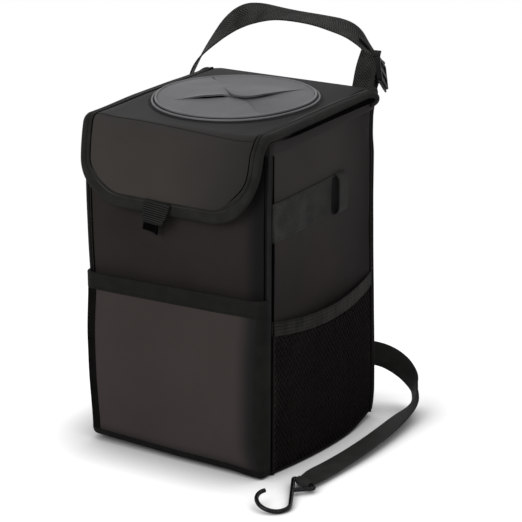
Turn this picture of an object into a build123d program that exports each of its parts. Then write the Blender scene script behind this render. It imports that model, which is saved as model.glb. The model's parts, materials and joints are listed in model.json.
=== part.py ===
"""Hanging car trash bin: a sewn fabric box with a hinged lid, pockets, a carry strap and a hook strap.

Frame: millimetres, +Z up, the front faces -Y. The origin is the centre of the underside of the base.
"""
import math
import os

from build123d import *

# Body
body_width = 182
body_depth = 178
rim_height_front = 293
rim_height_back = 297.5
wall = 4
base_thickness = 5
base_round = 3
liner_thickness = 0.8
seam_clearance = 0.15

# Trim of the body
piping_radius = 2.2
piping_inset = 0.4
piping_foot = 4
rim_binding_drop = 10
rim_binding_thickness = 1
hinge_tape_thickness = 0.8
hinge_tape_inset = 8

# Front pocket
front_pocket_inset = 3.5
front_pocket_foot = 1.5
front_pocket_top = 159
front_pocket_depth = 11
front_pocket_wall = 1.6
front_pocket_round = 9
front_binding_height = 15.5
binding_thickness = 0.6

# Mesh side pockets
side_pocket_inset = 4.5
side_pocket_foot = 2
side_pocket_top = 140
side_pocket_sag = 8.5
side_pocket_bulge = 8
mesh_thickness = 1.2
mesh_columns = 12
mesh_rows = 8
mesh_margin = 7
mesh_web = 3.6
elastic_height = 12.5
elastic_extra = 0.8

# Side bands and their keepers
band_bottom = 207
band_height = 34
band_thickness = 1.4
band_back_end = 32
keeper_front = 9
keeper_width = 15
keeper_height = 37
keeper_gap = 4.8
keeper_thickness = 1.4
keeper_round = 3.4

# Lid
lid_thickness = 5
lid_clearance = 1.2
lid_overhang = 1.8
lid_bend_radius = 3.5
flap_gap = 3.4
flap_bottom = 219
flap_bow_angle = 14
flap_corner = 42
lid_binding_width = 11
opening_radius = 67
opening_centre = -2
ring_width = 8
ring_height = 4.8
ring_ledge = 1.6
petal_thickness = 1.6
petal_slit = 1.2
petal_middle = (4, -18)
petal_slit_ends = ((-32, -42), (46, 42), (-36, 26), (42, -46))

# Closure pads and pull tab
pad_width = 70
pad_height = 20
pad_above_edge = 14
pad_thickness = 2.3
tab_width = 25
tab_centre = -15.5
tab_overlap = 11
tab_drop = 16
tab_gap = 5.2
tab_thickness = 1.4

# Webbing straps
webbing_width = 25
webbing_thickness = 1.6
strap_lean = 25
slider_width = 32
slider_height = 22
slider_thickness = 4.4
slider_bar = 4
slider_rail = 2.7
slider_centre = (80.5, 26, 313.5)
slider_heading = -67
slider_roll = -25
strap_end = 3

# Wire hook
wire_radius = 1.6
hook_bar = 27
hook_leg = 51
hook_leg_angle = 46
hook_curl_radius = 16
hook_curl_sweep = 245
eye_reach = 24
eye_bend = 2.2
loop_clearance = 0.25
loop_width = 15.5
bar_middle = Vector(129.5, -92.5, 4.6)
bar_direction = Vector(0.965, -0.25, -0.06).normalized()

half_width = body_width / 2
half_depth = body_depth / 2
rim_slope = (rim_height_back - rim_height_front) / body_depth
slope_angle = math.degrees(math.atan(rim_slope))


def block(x_range, y_range, z_range):
    """A box between the given pairs of coordinates."""
    size = [high - low for low, high in (x_range, y_range, z_range)]
    centre = [(high + low) / 2 for low, high in (x_range, y_range, z_range)]
    return Pos(*centre) * Box(*size)


def rim_at(y, above=0):
    """Height of the sloping rim, or of a plane the given distance above it."""
    return rim_height_front + (y + half_depth) * rim_slope + above


def across_prism(points, width):
    """A prism along X, centred on the YZ plane, from points given as (y, z)."""
    return extrude(Plane.YZ * make_face(Polyline(*points, close=True)), amount=width / 2, both=True)


def under_slope(above, floor=-20):
    """Everything between the floor and the sloping plane at the given distance above the rim."""
    reach = body_depth
    corners = [(-reach, floor), (reach, floor), (reach, rim_at(reach, above)), (-reach, rim_at(-reach, above))]
    return across_prism(corners, 3 * body_width)


def ring_block(outer_grow, inner_shrink):
    """A tall frame round the mouth, measured from the outer and inner faces of the walls."""
    outer_x = half_width + outer_grow
    outer_y = half_depth + outer_grow
    inner_x = half_width - wall - inner_shrink
    inner_y = half_depth - wall - inner_shrink
    tall = (0, rim_height_back + 40)
    outer = block((-outer_x, outer_x), (-outer_y, outer_y), tall)
    return outer - block((-inner_x, inner_x), (-inner_y, inner_y), (-1, rim_height_back + 41))


def mirrored(solid):
    """The same piece on the other side of the bin."""
    return mirror(solid, about=Plane.YZ)


# Walls and base
def corner_axes():
    """Name and plan position of each corner piping."""
    x = half_width - piping_inset
    y = half_depth - piping_inset
    return {"front_left": (-x, -y), "front_right": (x, -y), "back_left": (-x, y), "back_right": (x, y)}


def corner_groove():
    """The four grooves that the corner piping lies in."""
    tall = rim_height_back + 40
    bottom = (Align.CENTER, Align.CENTER, Align.MIN)
    round_bar = Cylinder(piping_radius + seam_clearance, tall, align=bottom)
    return [Pos(x, y, -1) * round_bar for x, y in corner_axes().values()]


def end_wall(side):
    """Front (-1) or back (+1) wall panel, with its corner grooves and rounded foot."""
    outer = side * half_depth
    y_range = sorted((outer, outer - side * wall))
    panel = block((-half_width, half_width), y_range, (0, rim_height_back + 20))
    foot = panel.edges().filter_by(Axis.X).group_by(Axis.Z)[0].sort_by(Axis.Y)[0 if side < 0 else -1]
    panel = fillet(foot, base_round)
    panel = panel & under_slope(0)
    for groove in corner_groove():
        panel = panel - groove
    return panel


def right_wall():
    """Right wall panel, between the end walls."""
    y_reach = half_depth - wall
    panel = block((half_width - wall, half_width), (-y_reach, y_reach), (0, rim_height_back + 20))
    foot = panel.edges().filter_by(Axis.Y).group_by(Axis.Z)[0].sort_by(Axis.X)[-1]
    return fillet(foot, base_round) & under_slope(0)


def base_panel():
    x = half_width - wall
    y = half_depth - wall
    return block((-x, x), (-y, y), (0, base_thickness))


def liner():
    """Leakproof liner: a thin tub inside the walls, ending below the rim binding."""
    x = half_width - wall - seam_clearance
    y = half_depth - wall - seam_clearance
    top = rim_height_back + 20
    tub = block((-x, x), (-y, y), (base_thickness, top))
    inner_x = x - liner_thickness
    inner_y = y - liner_thickness
    tub = tub - block((-inner_x, inner_x), (-inner_y, inner_y), (base_thickness + liner_thickness, top + 1))
    return tub & under_slope(-rim_binding_drop - 2 * seam_clearance)


def rim_binding():
    """Folded tape over the rim of the four walls."""
    tape = ring_block(rim_binding_thickness, rim_binding_thickness)
    tape = (tape & under_slope(rim_binding_thickness)) - under_slope(-rim_binding_drop)
    return tape - (ring_block(0, 0) & under_slope(0))


def corner_piping(x, y):
    top = rim_at(y, -rim_binding_drop - 3 * seam_clearance)
    bottom = (Align.CENTER, Align.CENTER, Align.MIN)
    cord = Cylinder(piping_radius, top - piping_foot, align=bottom)
    return Pos(x, y, piping_foot) * cord


def hinge_tape():
    """Tape that joins the lid to the back wall, on the outside of the rim binding."""
    inner = half_depth + rim_binding_thickness
    x = half_width - hinge_tape_inset
    top = rim_height_back + rim_binding_thickness
    return block((-x, x), (inner, inner + hinge_tape_thickness), (top - rim_binding_drop, top))


# Front pocket
def pocket_outline(grow):
    """Plan outline of the front pocket, grown on its three free sides, as a filled face."""
    x = half_width - front_pocket_inset + grow
    back = -half_depth
    front = back - front_pocket_depth - grow
    round_size = front_pocket_round + grow
    corners = FilletPolyline((-x, back), (-x, front), (x, front), (x, back), radius=round_size)
    return make_face([*corners.edges(), Line((x, back), (-x, back))])


def pocket_ring(outer_grow, inner_grow, bottom, top):
    """The pocket's wall between two outlines and two heights."""
    outer = extrude(Pos(0, 0, bottom) * pocket_outline(outer_grow), amount=top - bottom)
    inner = extrude(Pos(0, 0, bottom) * pocket_outline(inner_grow), amount=top - bottom)
    return outer - inner


def front_pocket():
    top = front_pocket_top - binding_thickness
    pocket = pocket_ring(0, -front_pocket_wall, front_pocket_foot, top)
    floor_sheet = extrude(Pos(0, 0, front_pocket_foot) * pocket_outline(0), amount=front_pocket_wall)
    return pocket + floor_sheet


def front_pocket_binding(pocket):
    bottom = front_pocket_top - front_binding_height
    inner = -front_pocket_wall - binding_thickness
    return pocket_ring(binding_thickness, inner, bottom, front_pocket_top) - pocket


# Mesh side pockets, built on the right
def bowed_plan(inner, outer):
    """Plan face of a bowed sheet between two distances from the wall at the middle of its bow."""
    y = half_depth - side_pocket_inset
    inset = outer - inner
    outer_arc = ThreePointArc((half_width, -y), (half_width + outer, 0), (half_width, y))
    inner_arc = ThreePointArc((half_width, y - inset), (half_width + inner, 0), (half_width, inset - y))
    ends = [Line(outer_arc @ 1, inner_arc @ 0), Line(inner_arc @ 1, outer_arc @ 0)]
    return make_face([outer_arc, ends[0], inner_arc, ends[1]])


def below_sag(drop):
    """Everything below the sagging top edge of a side pocket, lowered by the given drop."""
    y = half_depth
    top = side_pocket_top - drop
    edge = ThreePointArc((-y, top), (0, top - side_pocket_sag), (y, top))
    sides = Polyline(edge @ 1, (y, 0), (-y, 0), edge @ 0)
    region = make_face([edge, *sides.edges()])
    return extrude(Plane.YZ * region, amount=2 * body_width)


def mesh_gaps():
    """Diamond gaps of the mesh, in staggered rows, as prisms along X."""
    y_reach = half_depth - side_pocket_inset - mesh_margin
    bottom = side_pocket_foot + mesh_margin
    top = side_pocket_top - side_pocket_sag - elastic_height - mesh_margin
    pitch_y = 2 * y_reach / (mesh_columns + 0.5)
    pitch_z = (top - bottom) / mesh_rows
    half_y = (pitch_y - mesh_web) / 2
    half_z = (pitch_z - mesh_web / 2) / 2
    diamond = make_face(Polyline((-half_y, 0), (0, -half_z), (half_y, 0), (0, half_z), close=True))
    gaps = []
    for row in range(mesh_rows):
        shift = pitch_y / 2 if row % 2 else 0
        for column in range(mesh_columns):
            y = -y_reach + pitch_y / 2 + column * pitch_y + shift
            z = bottom + (row + 0.5) * pitch_z
            gaps.append(extrude(Plane.YZ * Pos(y, z, half_width) * diamond, amount=2 * side_pocket_bulge))
    return gaps


def mesh_pocket():
    tall = side_pocket_top - side_pocket_foot
    inner = side_pocket_bulge - mesh_thickness
    sheet = extrude(Pos(0, 0, side_pocket_foot) * bowed_plan(inner, side_pocket_bulge), amount=tall)
    sheet = sheet & below_sag(elastic_height + seam_clearance)
    sheet = sheet - mesh_gaps()
    y = half_depth - side_pocket_inset
    bow = ThreePointArc((half_width, -y), (half_width + side_pocket_bulge, 0), (half_width, y))
    floor_face = make_face([bow, Line(bow @ 1, bow @ 0)])
    return sheet + extrude(Pos(0, 0, side_pocket_foot) * floor_face, amount=mesh_thickness)


def pocket_elastic():
    inner = side_pocket_bulge - mesh_thickness - elastic_extra
    outer = side_pocket_bulge + elastic_extra
    band = extrude(bowed_plan(inner, outer), amount=side_pocket_top + 1)
    return (band & below_sag(0)) - below_sag(elastic_height)


# Side band and keeper, built on the right
def side_band():
    front = piping_radius * 2 - half_depth + piping_inset
    x_range = (half_width, half_width + band_thickness)
    return block(x_range, (front, band_back_end), (band_bottom, band_bottom + band_height))


def band_keeper():
    """Raised webbing loop over the band."""
    foot = half_width + band_thickness
    middle = band_bottom + band_height / 2
    reach = keeper_gap + keeper_thickness
    outer = RectangleRounded(2 * reach, keeper_height, keeper_round)
    inner = RectangleRounded(
        2 * keeper_gap, keeper_height - 2 * keeper_thickness, keeper_round - keeper_thickness
    )
    loop = extrude(Plane.XZ * Pos(foot, middle) * (outer - inner), amount=-keeper_width)
    loop = Pos(0, keeper_front, 0) * loop
    front_of_band = block((foot, foot + 2 * reach), (-half_depth, half_depth), (0, rim_height_back))
    return loop & front_of_band


# Lid sheet: the top and the front flap in one profile
hinge_y = half_depth + rim_binding_thickness + hinge_tape_thickness / 2
hinge_z = rim_at(hinge_y, rim_binding_thickness + lid_clearance)
lid_heading = 180 + slope_angle
flap_heading = 270 - flap_bow_angle


def heading_vector(angle):
    return Vector(math.cos(math.radians(angle)), math.sin(math.radians(angle)))


def lid_line(offset):
    """Corner points, headings and radii of the lid's profile, offset outwards from its underside."""
    outward = heading_vector(lid_heading - 90)
    bend_centre_drop = heading_vector(lid_heading + 90) * lid_bend_radius
    bend_end = heading_vector(flap_heading - 90) * lid_bend_radius
    bend_shift = bend_centre_drop.X + bend_end.X
    run = (hinge_y + half_depth + flap_gap + bend_shift) / math.cos(math.radians(slope_angle))
    start = Vector(hinge_y, hinge_z)
    bend_start = start + heading_vector(lid_heading) * run
    flap_start = bend_start + bend_centre_drop + bend_end
    chord = flap_start.Y - flap_bottom
    bow_radius = chord / (2 * math.sin(math.radians(flap_bow_angle)))
    top = Line(start + outward * offset, bend_start + outward * offset)
    turn = flap_heading - lid_heading
    bend = JernArc(top @ 1, heading_vector(lid_heading), lid_bend_radius + offset, turn)
    flap = JernArc(bend @ 1, heading_vector(flap_heading), bow_radius + offset, 2 * flap_bow_angle)
    return top, bend, flap


def lid_sheet(inside, outside):
    """The lid's folded sheet between two offsets, as wide as the bin and its overhang."""
    lower = lid_line(inside)
    upper = lid_line(outside)
    ends = [Line(upper[2] @ 1, lower[2] @ 1), Line(lower[0] @ 0, upper[0] @ 0)]
    profile = make_face([*lower, *upper, *ends])
    return extrude(Plane.YZ * profile, amount=body_width, both=True)


def lid_outline(grow):
    """Front view of the lid and flap as a prism along Y, grown or inset by the given size."""
    x = half_width + lid_overhang + grow
    bottom = flap_bottom - grow
    top = rim_height_back + 60
    corner = flap_corner + grow
    path = FilletPolyline((-x, top), (-x, bottom), (x, bottom), (x, top), radius=corner)
    face = make_face([*path.edges(), Line((x, top), (-x, top))])
    return extrude(Plane.XZ * face, amount=2 * body_depth, both=True)


def on_lid(shape, offset):
    """Places a shape from its own XY plane onto the lid, the given distance above the underside."""
    along = hinge_y - opening_centre
    origin = Vector(0, opening_centre, hinge_z - along * rim_slope)
    normal = Vector(0, -rim_slope, 1).normalized()
    seat = Plane(origin=origin + normal * offset, x_dir=(1, 0, 0), z_dir=normal)
    return seat * shape


def lid_panel():
    panel = lid_sheet(0, lid_thickness) & lid_outline(0)
    hole = Cylinder(opening_radius, 6 * lid_thickness)
    return panel - on_lid(hole, 0)


def lid_binding(panel):
    """Tape folded over the free edges of the lid and flap."""
    tape = lid_sheet(-binding_thickness, lid_thickness + binding_thickness) & lid_outline(binding_thickness)
    return tape - lid_outline(-lid_binding_width) - panel


def opening_ring():
    """Raised ring round the opening, with a ledge that carries the petals."""
    outer = opening_radius + ring_width
    seat_height = ring_height - petal_thickness - seam_clearance * 4
    ledge = opening_radius - ring_ledge
    bead = Polyline(
        (ledge, 0),
        (outer, 0),
        (outer, ring_height),
        (opening_radius, ring_height),
        (opening_radius, seat_height),
        (ledge, seat_height),
        close=True,
    )
    profile = make_face(bead)
    crown = profile.vertices().group_by(Axis.Y)[-1]
    profile = fillet(crown, ring_height / 3.2)
    ring = revolve(Plane.XZ * profile, Axis.Z)
    return on_lid(ring, lid_thickness)


def opening_petals():
    """Flexible disc, cut into four petals by slits that meet in front of its middle."""
    bottom = (Align.CENTER, Align.CENTER, Align.MIN)
    disc = Cylinder(opening_radius - seam_clearance, petal_thickness, align=bottom)
    meeting = Vector(*petal_middle)
    for end in petal_slit_ends:
        run = Vector(*end) - meeting
        along = Plane(origin=meeting, x_dir=run, z_dir=(0, 0, 1))
        disc = disc - along * Pos(run.length / 2, 0) * Box(run.length, petal_slit, 4 * petal_thickness)
    seat_height = ring_height - petal_thickness - seam_clearance * 4
    return on_lid(disc, lid_thickness + seat_height)


def flap_arc_centre():
    """Centre and inner radius of the flap's bow."""
    arc = lid_line(0)[2]
    return arc.arc_center, arc.radius


def closure_hook_pad():
    """Hook pad on the inside of the flap, above the binding."""
    centre, radius = flap_arc_centre()
    lowest = 180 + flap_bow_angle - math.degrees(pad_above_edge / radius)
    highest = lowest - math.degrees(pad_height / radius)
    outer = CenterArc(centre, radius, highest, lowest - highest)
    inner = CenterArc(centre, radius - pad_thickness, highest, lowest - highest)
    ends = [Line(outer @ 0, inner @ 0), Line(outer @ 1, inner @ 1)]
    face = make_face([outer, inner, *ends])
    return extrude(Plane.YZ * face, amount=pad_width / 2, both=True)


def closure_loop_pad():
    """Loop pad on the front wall, facing the hook pad."""
    bottom = flap_bottom + pad_above_edge
    y_range = (-half_depth - pad_thickness, -half_depth)
    return block((-pad_width / 2, pad_width / 2), y_range, (bottom, bottom + pad_height))


def pull_tab():
    """Folded webbing loop, sewn to the outside of the flap binding and hanging below it."""
    centre, radius = flap_arc_centre()
    outer_radius = radius + lid_thickness + binding_thickness + seam_clearance
    seat_angle = 180 + flap_bow_angle - math.degrees(tab_overlap / 2 / radius)
    seat = centre + heading_vector(seat_angle) * outer_radius
    down = heading_vector(seat_angle + 90)
    out = heading_vector(seat_angle)
    half_gap = tab_gap / 2
    loop_middle = tab_thickness + half_gap
    arc_start = tab_drop + tab_overlap / 2 - loop_middle

    def place(along, away):
        point = seat + down * along + out * away
        return (point.X, point.Y)

    def hairpin(inner, outer):
        """Front and back layers and the round fold, as an open path."""
        near = Line(place(0, inner), place(arc_start, inner))
        middle = (inner + outer) / 2
        fold = ThreePointArc(
            near @ 1, place(arc_start + (outer - inner) / 2, middle), place(arc_start, outer)
        )
        return [near, fold, Line(fold @ 1, place(0, outer))]

    full = tab_gap + 2 * tab_thickness
    outside = hairpin(0, full)
    inside = hairpin(tab_thickness, full - tab_thickness)
    outside_face = make_face([*outside, Line(outside[2] @ 1, outside[0] @ 0)])
    inside_face = make_face([*inside, Line(inside[2] @ 1, inside[0] @ 0)])
    stitched = [
        place(0, 0),
        place(0, full),
        place(-tab_overlap / 2, 2 * tab_thickness),
        place(-tab_overlap / 2, 0),
    ]
    root = make_face(Polyline(*stitched, close=True))
    section = (outside_face - inside_face) + root
    return Pos(tab_centre, 0, 0) * extrude(Plane.YZ * section, amount=tab_width / 2, both=True)


# Webbing ribbons
def ribbon(stations, reference, thickness):
    """Flat webbing through stations of centre, roll in degrees and width.

    At roll 0 the width lies along the reference direction, and the roll turns it about the ribbon's line.
    """
    sections = []
    for index, (centre, roll, width) in enumerate(stations):
        before = stations[max(index - 1, 0)][0]
        after = stations[min(index + 1, len(stations) - 1)][0]
        tangent = (after - before).normalized()
        flat = (reference - tangent * reference.dot(tangent)).normalized()
        lift = tangent.cross(flat)
        turn = math.radians(roll)
        across = flat * math.cos(turn) + lift * math.sin(turn)
        frame = Plane(origin=centre, x_dir=across, z_dir=tangent)
        sections.append(frame * Rectangle(width, thickness))
    return loft(sections, ruled=True)


# Carry strap stations: x, distance behind the back wall, height and roll
carry_route_left = [
    (-62, 1, 236, 90),
    (-80, 2.6, 252, 88),
    (-103, 11, 268, 50),
    (-117, 15.5, 286, 10),
    (-116, 18, 297, 6),
    (-110, 23, 309, 20),
    (-100, 30, 324, 34),
    (-90, 35.5, 336.5, 52),
    (-76, 40.5, 346.5, 58),
    (-62, 42, 350, 37),
    (-43, 43, 351.5, 18),
    (-25, 43, 352, 9),
    (4, 43, 351, 8),
    (28, 41, 348, 15),
    (42, 38.5, 343.5, 6),
    (55, 35.5, 336.5, -8),
    (67, 32, 330, -18),
]

# The strap's other length, from its anchor on the back wall up to the shoulder
return_route = [
    (66, 1, 240, -90),
    (65.5, 4, 266, -93),
    (65, 11, 293, -97),
    (64, 16, 301, -98),
    (62.3, 23, 313.4, -100),
    (62.4, 29, 325, -104),
    (62.8, 32.5, 332, -108),
]


def strap_point(x, behind, z):
    return Vector(x, half_depth + behind, z)


def slider_line():
    """Centre and heading of the straight length of strap in the slider."""
    centre = strap_point(*slider_centre)
    heading = Vector(math.cos(math.radians(slider_heading)), 0, math.sin(math.radians(slider_heading)))
    lean = Vector(0, heading.Z * math.tan(math.radians(strap_lean)), 0)
    return centre, (heading + lean).normalized()


def carry_strap():
    """Carry strap: the loop over the top to its end in the slider, and the length up from the right anchor."""
    reference = Vector(0, 1, 0)
    centre, heading = slider_line()
    reach = slider_height / 2
    main = [(strap_point(x, behind, z), roll, webbing_width) for x, behind, z, roll in carry_route_left]
    for along in (-reach - 2, -reach - 0.5, reach + 0.5, reach + strap_end):
        main.append((centre + heading * along, slider_roll, webbing_width))
    other = [(strap_point(x, behind, z), roll, webbing_width) for x, behind, z, roll in return_route]
    strap = ribbon(main, reference, webbing_thickness)
    return strap + ribbon(other, reference, webbing_thickness)


def strap_slider():
    """Tri-glide slider on the carry strap's outer layer."""
    centre, heading = slider_line()
    reference = Vector(0, 1, 0)
    flat = (reference - heading * reference.dot(heading)).normalized()
    turn = math.radians(slider_roll)
    across = flat * math.cos(turn) + heading.cross(flat) * math.sin(turn)
    frame = Plane(origin=centre, x_dir=across, z_dir=heading.cross(across))
    clear_width = webbing_width + 2 * seam_clearance
    body = Box(slider_width, slider_height, slider_thickness)
    body = fillet(body.edges().filter_by(Axis.Z), slider_rail)
    slot = Box(clear_width, slider_height - 2 * slider_rail, 3 * slider_thickness)
    bar_thickness = slider_thickness / 2
    bar = Pos(0, 0, bar_thickness / 2) * Box(slider_width, slider_bar, bar_thickness)
    passage = Box(clear_width, 2 * slider_height, webbing_thickness + 2 * seam_clearance)
    return frame * (body - slot + bar - passage)


# Hook strap stations: x, y, height and roll
hook_route = [
    (-10, 90.1, 52, 0),
    (16, 92, 52, 2),
    (42, 101, 51.5, 5),
    (66, 110.5, 50.3, 8),
    (79, 115.5, 49, 10),
    (89, 120.5, 46, 12),
    (99, 124.5, 40, 13),
    (108, 126, 32.9, 12),
    (116, 124, 25.3, 5),
    (120.5, 119, 17.8, -7),
    (122.5, 113, 13, -27),
    (123.5, 104, 9.4, -50),
    (124.5, 90, 6.8, -64),
    (127.3, 60, 4.9, -73),
    (129.2, 25, 3.9, -77),
    (129.6, -12, 3.3, -80),
    (128, -45, 2.6, -84),
    (127, -62, 2.8, -87),
    (128.5, -79, 4.0, -92),
]


def hook_strap():
    """Webbing strap from the back wall along the floor to a sewn loop round the hook's bar."""
    stations = [(Vector(x, y, z), roll, webbing_width) for x, y, z, roll in hook_route]
    neck, neck_roll, neck_width = stations[-1]
    stations[-1] = (neck, neck_roll, (neck_width + loop_width) / 2)
    heading = bar_direction.cross(Vector(0, 0, 1)).normalized()
    inner_radius = wire_radius + loop_clearance
    outer_radius = inner_radius + webbing_thickness
    seam = bar_middle - heading * (inner_radius + webbing_thickness / 2)
    stations.append((seam, -95, loop_width))
    strap = ribbon(stations, Vector(0, 0, 1), webbing_thickness)
    axis = Plane(origin=bar_middle, z_dir=bar_direction)
    loop = axis * Cylinder(outer_radius, loop_width)
    return strap + loop - axis * Cylinder(inner_radius, 3 * hook_bar)


def strap_hook():
    """Bent wire hook: a curl, a straight leg, and a triangular eye whose bar lies in the strap's loop."""
    leg = heading_vector(-hook_leg_angle)
    side = heading_vector(-hook_leg_angle - 90)
    bar_start = Vector(-hook_bar / 2, 0)
    leg_end = bar_start + leg * hook_leg
    curl_centre = leg_end + side * hook_curl_radius
    curl = CenterArc(curl_centre, hook_curl_radius, 90 - hook_leg_angle, -hook_curl_sweep)
    eye = FilletPolyline(
        leg_end, bar_start, Vector(hook_bar / 2, 0), bar_start + leg * eye_reach, radius=eye_bend
    )
    path = Wire([curl, *eye.edges()])
    start = curl @ 1
    section = Plane(origin=start, z_dir=curl % 1) * Circle(wire_radius)
    hook = sweep(section, path=path) + Pos(start.X, start.Y, 0) * Sphere(wire_radius)
    normal = Vector(0.05, -0.04, 0.998)
    plane = Plane(origin=bar_middle, x_dir=bar_direction, z_dir=normal)
    return plane * hook


def build_nodes():
    """Every piece by its name."""
    pocket = front_pocket()
    panel = lid_panel()
    nodes = {
        "front_panel": end_wall(-1),
        "back_panel": end_wall(1),
        "right_panel": right_wall(),
        "left_panel": mirrored(right_wall()),
        "base_panel": base_panel(),
        "liner": liner(),
        "rim_binding": rim_binding(),
        "hinge_tape": hinge_tape(),
        "front_pocket": pocket,
        "front_pocket_binding": front_pocket_binding(pocket),
        "closure_loop_pad": closure_loop_pad(),
        "carry_strap": carry_strap(),
        "strap_slider": strap_slider(),
        "hook_strap": hook_strap(),
        "strap_hook": strap_hook(),
        "lid_panel": panel,
        "lid_binding": lid_binding(panel),
        "opening_ring": opening_ring(),
        "opening_petals": opening_petals(),
        "closure_hook_pad": closure_hook_pad(),
        "pull_tab": pull_tab(),
    }
    for corner, (x, y) in corner_axes().items():
        nodes[corner + "_piping"] = corner_piping(x, y)
    right_side = {
        "mesh_pocket": mesh_pocket(),
        "pocket_elastic": pocket_elastic(),
        "side_band": side_band(),
        "band_keeper": band_keeper(),
    }
    for name, solid in right_side.items():
        nodes["right_" + name] = solid
        nodes["left_" + name] = mirrored(solid)
    return nodes


def main():
    os.makedirs("parts", exist_ok=True)
    for name, solid in build_nodes().items():
        export_step(solid, "parts/" + name + ".step")


main()
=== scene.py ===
import json
import math

import bmesh
import bpy
import numpy as np
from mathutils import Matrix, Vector, noise


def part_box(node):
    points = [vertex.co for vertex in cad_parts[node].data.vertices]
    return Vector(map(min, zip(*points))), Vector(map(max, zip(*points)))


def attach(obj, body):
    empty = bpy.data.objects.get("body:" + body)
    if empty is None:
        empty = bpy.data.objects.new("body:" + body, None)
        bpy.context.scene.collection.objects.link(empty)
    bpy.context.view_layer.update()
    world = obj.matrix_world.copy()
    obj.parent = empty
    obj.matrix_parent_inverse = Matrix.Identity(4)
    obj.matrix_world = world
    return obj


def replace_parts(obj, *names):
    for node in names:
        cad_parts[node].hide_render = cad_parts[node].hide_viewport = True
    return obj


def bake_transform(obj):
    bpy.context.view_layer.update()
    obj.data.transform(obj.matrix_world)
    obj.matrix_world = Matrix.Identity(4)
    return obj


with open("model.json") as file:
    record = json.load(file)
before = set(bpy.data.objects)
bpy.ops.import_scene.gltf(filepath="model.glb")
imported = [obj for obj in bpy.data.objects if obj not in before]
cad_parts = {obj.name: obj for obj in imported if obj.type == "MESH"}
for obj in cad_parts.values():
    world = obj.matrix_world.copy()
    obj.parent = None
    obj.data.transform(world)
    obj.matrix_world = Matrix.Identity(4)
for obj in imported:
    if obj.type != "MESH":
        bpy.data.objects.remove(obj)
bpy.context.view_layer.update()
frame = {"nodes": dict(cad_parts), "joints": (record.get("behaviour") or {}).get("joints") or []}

# Looks of a hanging car trash bin. Lengths are in millimetres until a mesh is made,
# and the axes are the frame's: +Z up, the front faces -Y.
MM = 0.001
FULL_TURN = 2 * math.pi


def box_mm(node):
    """Lowest and highest corner of a CAD node in millimetres."""
    return [np.array(corner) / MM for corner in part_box(node)]


# Sizes read from the frame
half_width, _, rim_front = box_mm("front_panel")[1]
_, half_depth, rim_back = box_mm("back_panel")[1]
wall = half_width - box_mm("base_panel")[1][0]
pipe_low, pipe_high = box_mm("front_right_piping")
pipe_radius = (pipe_high[0] - pipe_low[0]) / 2
pocket_low = box_mm("front_pocket")[0]
pocket_tape_low, pocket_tape_high = box_mm("front_pocket_binding")
net_high = box_mm("right_mesh_pocket")[1]
elastic_top = box_mm("right_pocket_elastic")[1][2]
band_low, band_high = box_mm("right_side_band")
keeper_low, keeper_high = box_mm("right_band_keeper")
ring_low, ring_high = box_mm("opening_ring")
hook_pad_low, hook_pad_high = box_mm("closure_hook_pad")
loop_pad_low, loop_pad_high = box_mm("closure_loop_pad")
tab_low, tab_high = box_mm("pull_tab")

# The lid's profile, as in the part's source
hinge_y = frame["joints"][0]["pos_m"][1] / MM
hinge_z = frame["joints"][0]["pos_m"][2] / MM
rim_slope = (rim_back - rim_front) / (2 * half_depth - wall)
lid_heading = math.pi + math.atan(rim_slope)
lid_half_width = box_mm("lid_panel")[1][0]
lid_thickness = 5
fold_radius = 3.5
bow_radius = 152
bow_turn = math.radians(28)
fold_turn = math.radians(270 - 14) - lid_heading
top_run = 179.55
flap_trim = 1.8
left_flap_corner = 43
right_flap_corner = 51
lid_tape_width = 10
lid_end_tape_extra = 4
opening_radius = 68.6
opening_along = (hinge_y - 0.5) / math.cos(lid_heading - math.pi)
ring_outer = (ring_high[0] - ring_low[0]) / 2 + 1.6


# Small helpers
def smooth(value, low, high):
    """A soft step from 0 at low to 1 at high."""
    share = np.clip((np.asarray(value, float) - low) / (high - low), 0, 1)
    return share * share * (3 - 2 * share)


def drift(points, size, seed):
    """Gentle noise from about -1 to 1 whose bumps are about the given size across."""
    flat = np.asarray(points, float).reshape(-1, 3) / size + seed * 7.31
    values = [noise.noise(Vector(point)) for point in flat]
    return np.array(values).reshape(np.asarray(points).shape[:-1])


def stacked(*values):
    """Points from their coordinates, each a number or an array."""
    return np.stack(np.broadcast_arrays(*values), axis=-1)


def unit(vectors):
    """The given directions at a length of one."""
    return vectors / np.linalg.norm(vectors, axis=-1, keepdims=True)


def headings(path):
    """Directions along a path at its points."""
    return unit(np.gradient(path, axis=0))


def run_lengths(path):
    """Distances along a path from its first point."""
    return np.concatenate([[0], np.cumsum(np.linalg.norm(np.diff(path, axis=0), axis=1))])


# How the soft box leans: its left rim sinks, its left wall swells, its back right edge draws in,
# and its feet lift
left_sink = 4.5
left_swell = 5.8
back_draw = 2.6
back_pinch = 1.6
back_spread = 2.7
foot_lift = 5.5
front_foot_lift = 2.5


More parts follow.
